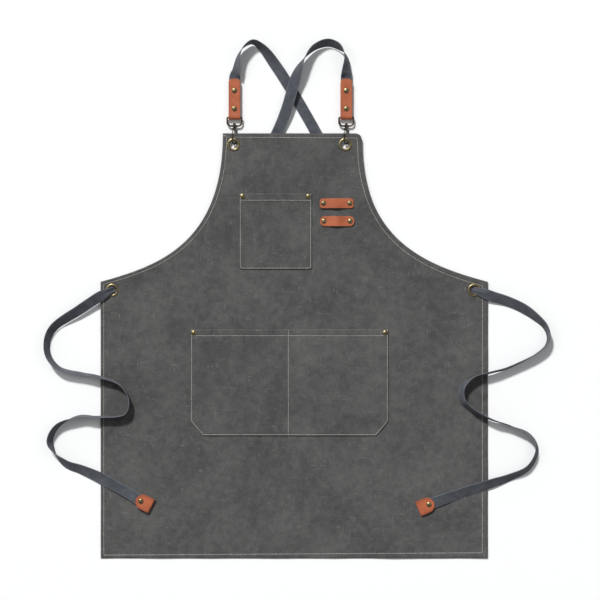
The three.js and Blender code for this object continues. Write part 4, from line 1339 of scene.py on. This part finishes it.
def claw(side, x):
    half = CLAW["half"]
    path = [(0.6 * MM, -6 * MM), (1.6 * MM, -6.9 * MM), (2.8 * MM, -7.6 * MM), (4.1 * MM, -8.8 * MM)]
    path += [(5.0 * MM, -10.4 * MM), (5.4 * MM, -12.2 * MM)]
    path += [(half, y) for y in steps(-13.4 * MM, -CLAW["arc"], 6)]
    path += arc((0, -CLAW["arc"]), half, 0, -180, 20)[1:]
    path += [(-half, y) for y in steps(-CLAW["arc"], -CLAW["nose"], 6)][1:]
    mesh = bmesh.new()
    wire(mesh, path, CLAW["wire"], sides=14)
    post = [
        (0, -NECK_DROP), (2.4 * MM, -NECK_DROP), (2.9 * MM, -NECK_DROP + 0.5 * MM), (2.9 * MM, -3.1 * MM),
        (2.5 * MM, -2.75 * MM), (1.4 * MM, -2.7 * MM), (1.4 * MM, 2.7 * MM), (2.3 * MM, 2.72 * MM),
        (2.6 * MM, 3.1 * MM), (2.5 * MM, 4.0 * MM), (1.8 * MM, 4.5 * MM), (0, 4.6 * MM),
    ]
    barrel(mesh, post, Matrix.Identity(4))
    for low, high in ((-2.2, -1.2), (1.2, 2.2)):
        cheek = bmesh.ops.create_cube(mesh, size=1)["verts"]
        size = Matrix.Diagonal((5.6 * MM, 4.4 * MM, (high - low) * MM, 1))
        spot = Matrix.Translation((-1.6 * MM, -6.2 * MM, (low + high) / 2 * MM))
        bmesh.ops.transform(mesh, matrix=spot @ size, verts=cheek)
        cheek_edges = list({edge for vert in cheek for edge in vert.link_edges})
        bmesh.ops.bevel(
            mesh, geom=cheek_edges, offset=0.35 * MM, affect="EDGES", segments=2, profile=0.5, material=-1
        )
    hook_part(f"claw_{side}", mesh, claw_frame(x), f"hook_claw_{side}", f"hook_{side}")


def gate(side, x):
    mesh = bmesh.new()
    tip = Vector((-math.sin(GATE_LEAN), -math.cos(GATE_LEAN), 0)) * GATE_LENGTH
    wire(mesh, [tuple((tip * t).xy) for t in steps(0, 1, 5)], 0.95 * MM)
    eye = [(0.8, -0.9), (1.5, -0.9), (1.6, -0.7), (1.6, 0.2), (0.8, 0.3)]
    spun(mesh, [(r * MM, h * MM) for r, h in eye], Vector(), 24)
    hook_part(f"gate_{side}", mesh, pin_frame(x), f"hook_gate_{side}", f"gate_{side}")


def pin(side, x):
    mesh = bmesh.new()
    half = [(0, 2.35), (0.7, 2.35), (0.9, 2.2), (0.6, 2.0)]
    shape = [(r, -h) for r, h in half] + half[::-1]
    spun(mesh, [(r * MM, h * MM) for r, h in shape], Vector(), 20)
    hook_part(f"pin_{side}", mesh, pin_frame(x), f"gate_pin_{side}", f"hook_{side}")


def spring(side, x):
    """A coil of two turns round the pin, with an arm along the fork."""
    mesh = bmesh.new()
    two_turns = 4 * math.pi
    coil = [
        Vector((1.15 * math.cos(a), 1.15 * math.sin(a), 0.55 + 0.4 * a / two_turns)) * MM
        for a in steps(0, two_turns, 40)
    ]
    coil.append(Vector((1.15, -2.6, 0.95)) * MM)
    wire_radius = 0.17 * MM

    def place(angle, index):
        i = round(index)
        ahead = (coil[min(i + 1, len(coil) - 1)] - coil[max(i - 1, 0)]).normalized()
        side_way = ahead.cross(UP).normalized()
        over = side_way.cross(ahead)
        return coil[i] + (side_way * math.cos(angle) + over * math.sin(angle)) * wire_radius

    bent_grid(mesh, steps(0, 2 * math.pi, 6), list(range(len(coil))), place)
    bmesh.ops.remove_doubles(mesh, verts=mesh.verts, dist=2e-6)
    bmesh.ops.holes_fill(mesh, edges=mesh.edges, sides=8)
    hook_part(f"spring_{side}", mesh, pin_frame(x), f"gate_spring_{side}", f"hook_{side}")


for side in ("left", "right"):
    low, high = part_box(f"hook_loop_{side}")
    x = (low.x + high.x) / 2
    for make in (hook_loop, claw, gate, pin, spring):
        make(side, x)
print("hooks stand at", round(math.degrees(CLAW["tilt"])), "degrees")

# %% [markdown]
# ## Flat sizes of the cloth
# The panel's flat area is summed from its outline, and each pocket's from its size less its cut
# corners. Each strap's length, printed above, is that of its own drawn path, so it records how
# long the strap came out and tests nothing.

FULL_AREA = 2 * HALF_WIDTH * SIDE_LENGTH + sum(
    (reach(right_edge, y) - reach(left_armhole, y)) * (APRON_LENGTH - SIDE_LENGTH) / 200
    for y in steps(SIDE_LENGTH, APRON_LENGTH, 199)
)
for piece, pocket in ((chest_cloth, CHEST), (hip_cloth, HIP)):
    wide, high = pocket["cut"]
    area = pocket["width"] * pocket["height"] - wide * high
for side, tie in (("left", "right"), ("right", "left")):
    piece, middles, length = straps[side]
    x = middles[0].x
    [tuple(p) for p in middles[::4]]
print("panel area in square metres:", round(FULL_AREA, 3))

# %% [markdown]
# ## Floor and light
# A key light at 45 degrees from the upper left gives every hem and strap a soft shadow. A pale room
# fills those shadows a little, and two soft panels give the brass something bright to reflect.

# %% Stage
KEY_TILT = 0.707  # sine and cosine of 45 degrees
KEY_DIRECTION = Vector((0.42 * KEY_TILT, -0.9 * KEY_TILT, -KEY_TILT))
KEY_POWER = 3.35
ROOM_POWER = 0.27
SOFT_PANELS = {"panel_left": ((-2.2, 1.2, 2.6), 11), "panel_right": ((2.4, 0.4, 2.8), 7)}
floor_mesh = bmesh.new()
bmesh.ops.create_grid(floor_mesh, x_segments=1, y_segments=1, size=6)
floor_data = bpy.data.meshes.new("studio_floor")
floor_mesh.to_mesh(floor_data)
floor_mesh.free()
floor_material, _, _, _ = new_finish("studio_white", Base_Color=(0.9, 0.9, 0.9, 1), Roughness=0.9)
floor_data.materials.append(floor_material)
floor = bpy.data.objects.new("studio_floor", floor_data)
floor.location.z = -0.3 * MM
bpy.context.scene.collection.objects.link(floor)
floor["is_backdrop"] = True

key_data = bpy.data.lights.new("key", "SUN")
key_data.energy = KEY_POWER
key_data.angle = math.radians(7)
key = bpy.data.objects.new("key", key_data)
key.rotation_euler = KEY_DIRECTION.to_track_quat("-Z", "Y").to_euler()
bpy.context.scene.collection.objects.link(key)

for name, (spot, power) in SOFT_PANELS.items():
    panel_data = bpy.data.lights.new(name, "AREA")
    panel_data.energy = power
    panel_data.size = 1.1
    soft_panel = bpy.data.objects.new(name, panel_data)
    soft_panel.location = spot
    soft_panel.rotation_euler = (-Vector(spot)).to_track_quat("-Z", "Y").to_euler()
    bpy.context.scene.collection.objects.link(soft_panel)

world = bpy.data.worlds.new("studio")
world.use_nodes = True
room = world.node_tree.nodes["Background"].inputs
room["Color"].default_value = (0.96, 0.98, 1, 1)
room["Strength"].default_value = ROOM_POWER
bpy.context.scene.world = world

# %% [markdown]
# ## Finish
# The box of what was made is printed, to be set beside the frame's box printed at the start, so a
# piece that has grown beyond its place is easy to see.

# %% Sizes of the boxes
made_low, made_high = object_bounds()
sizes = {"cad": [list(cad_low), list(cad_high)], "visual": [list(made_low), list(made_high)]}
print("visual box in mm:", [round(x / MM) for x in made_high - made_low])
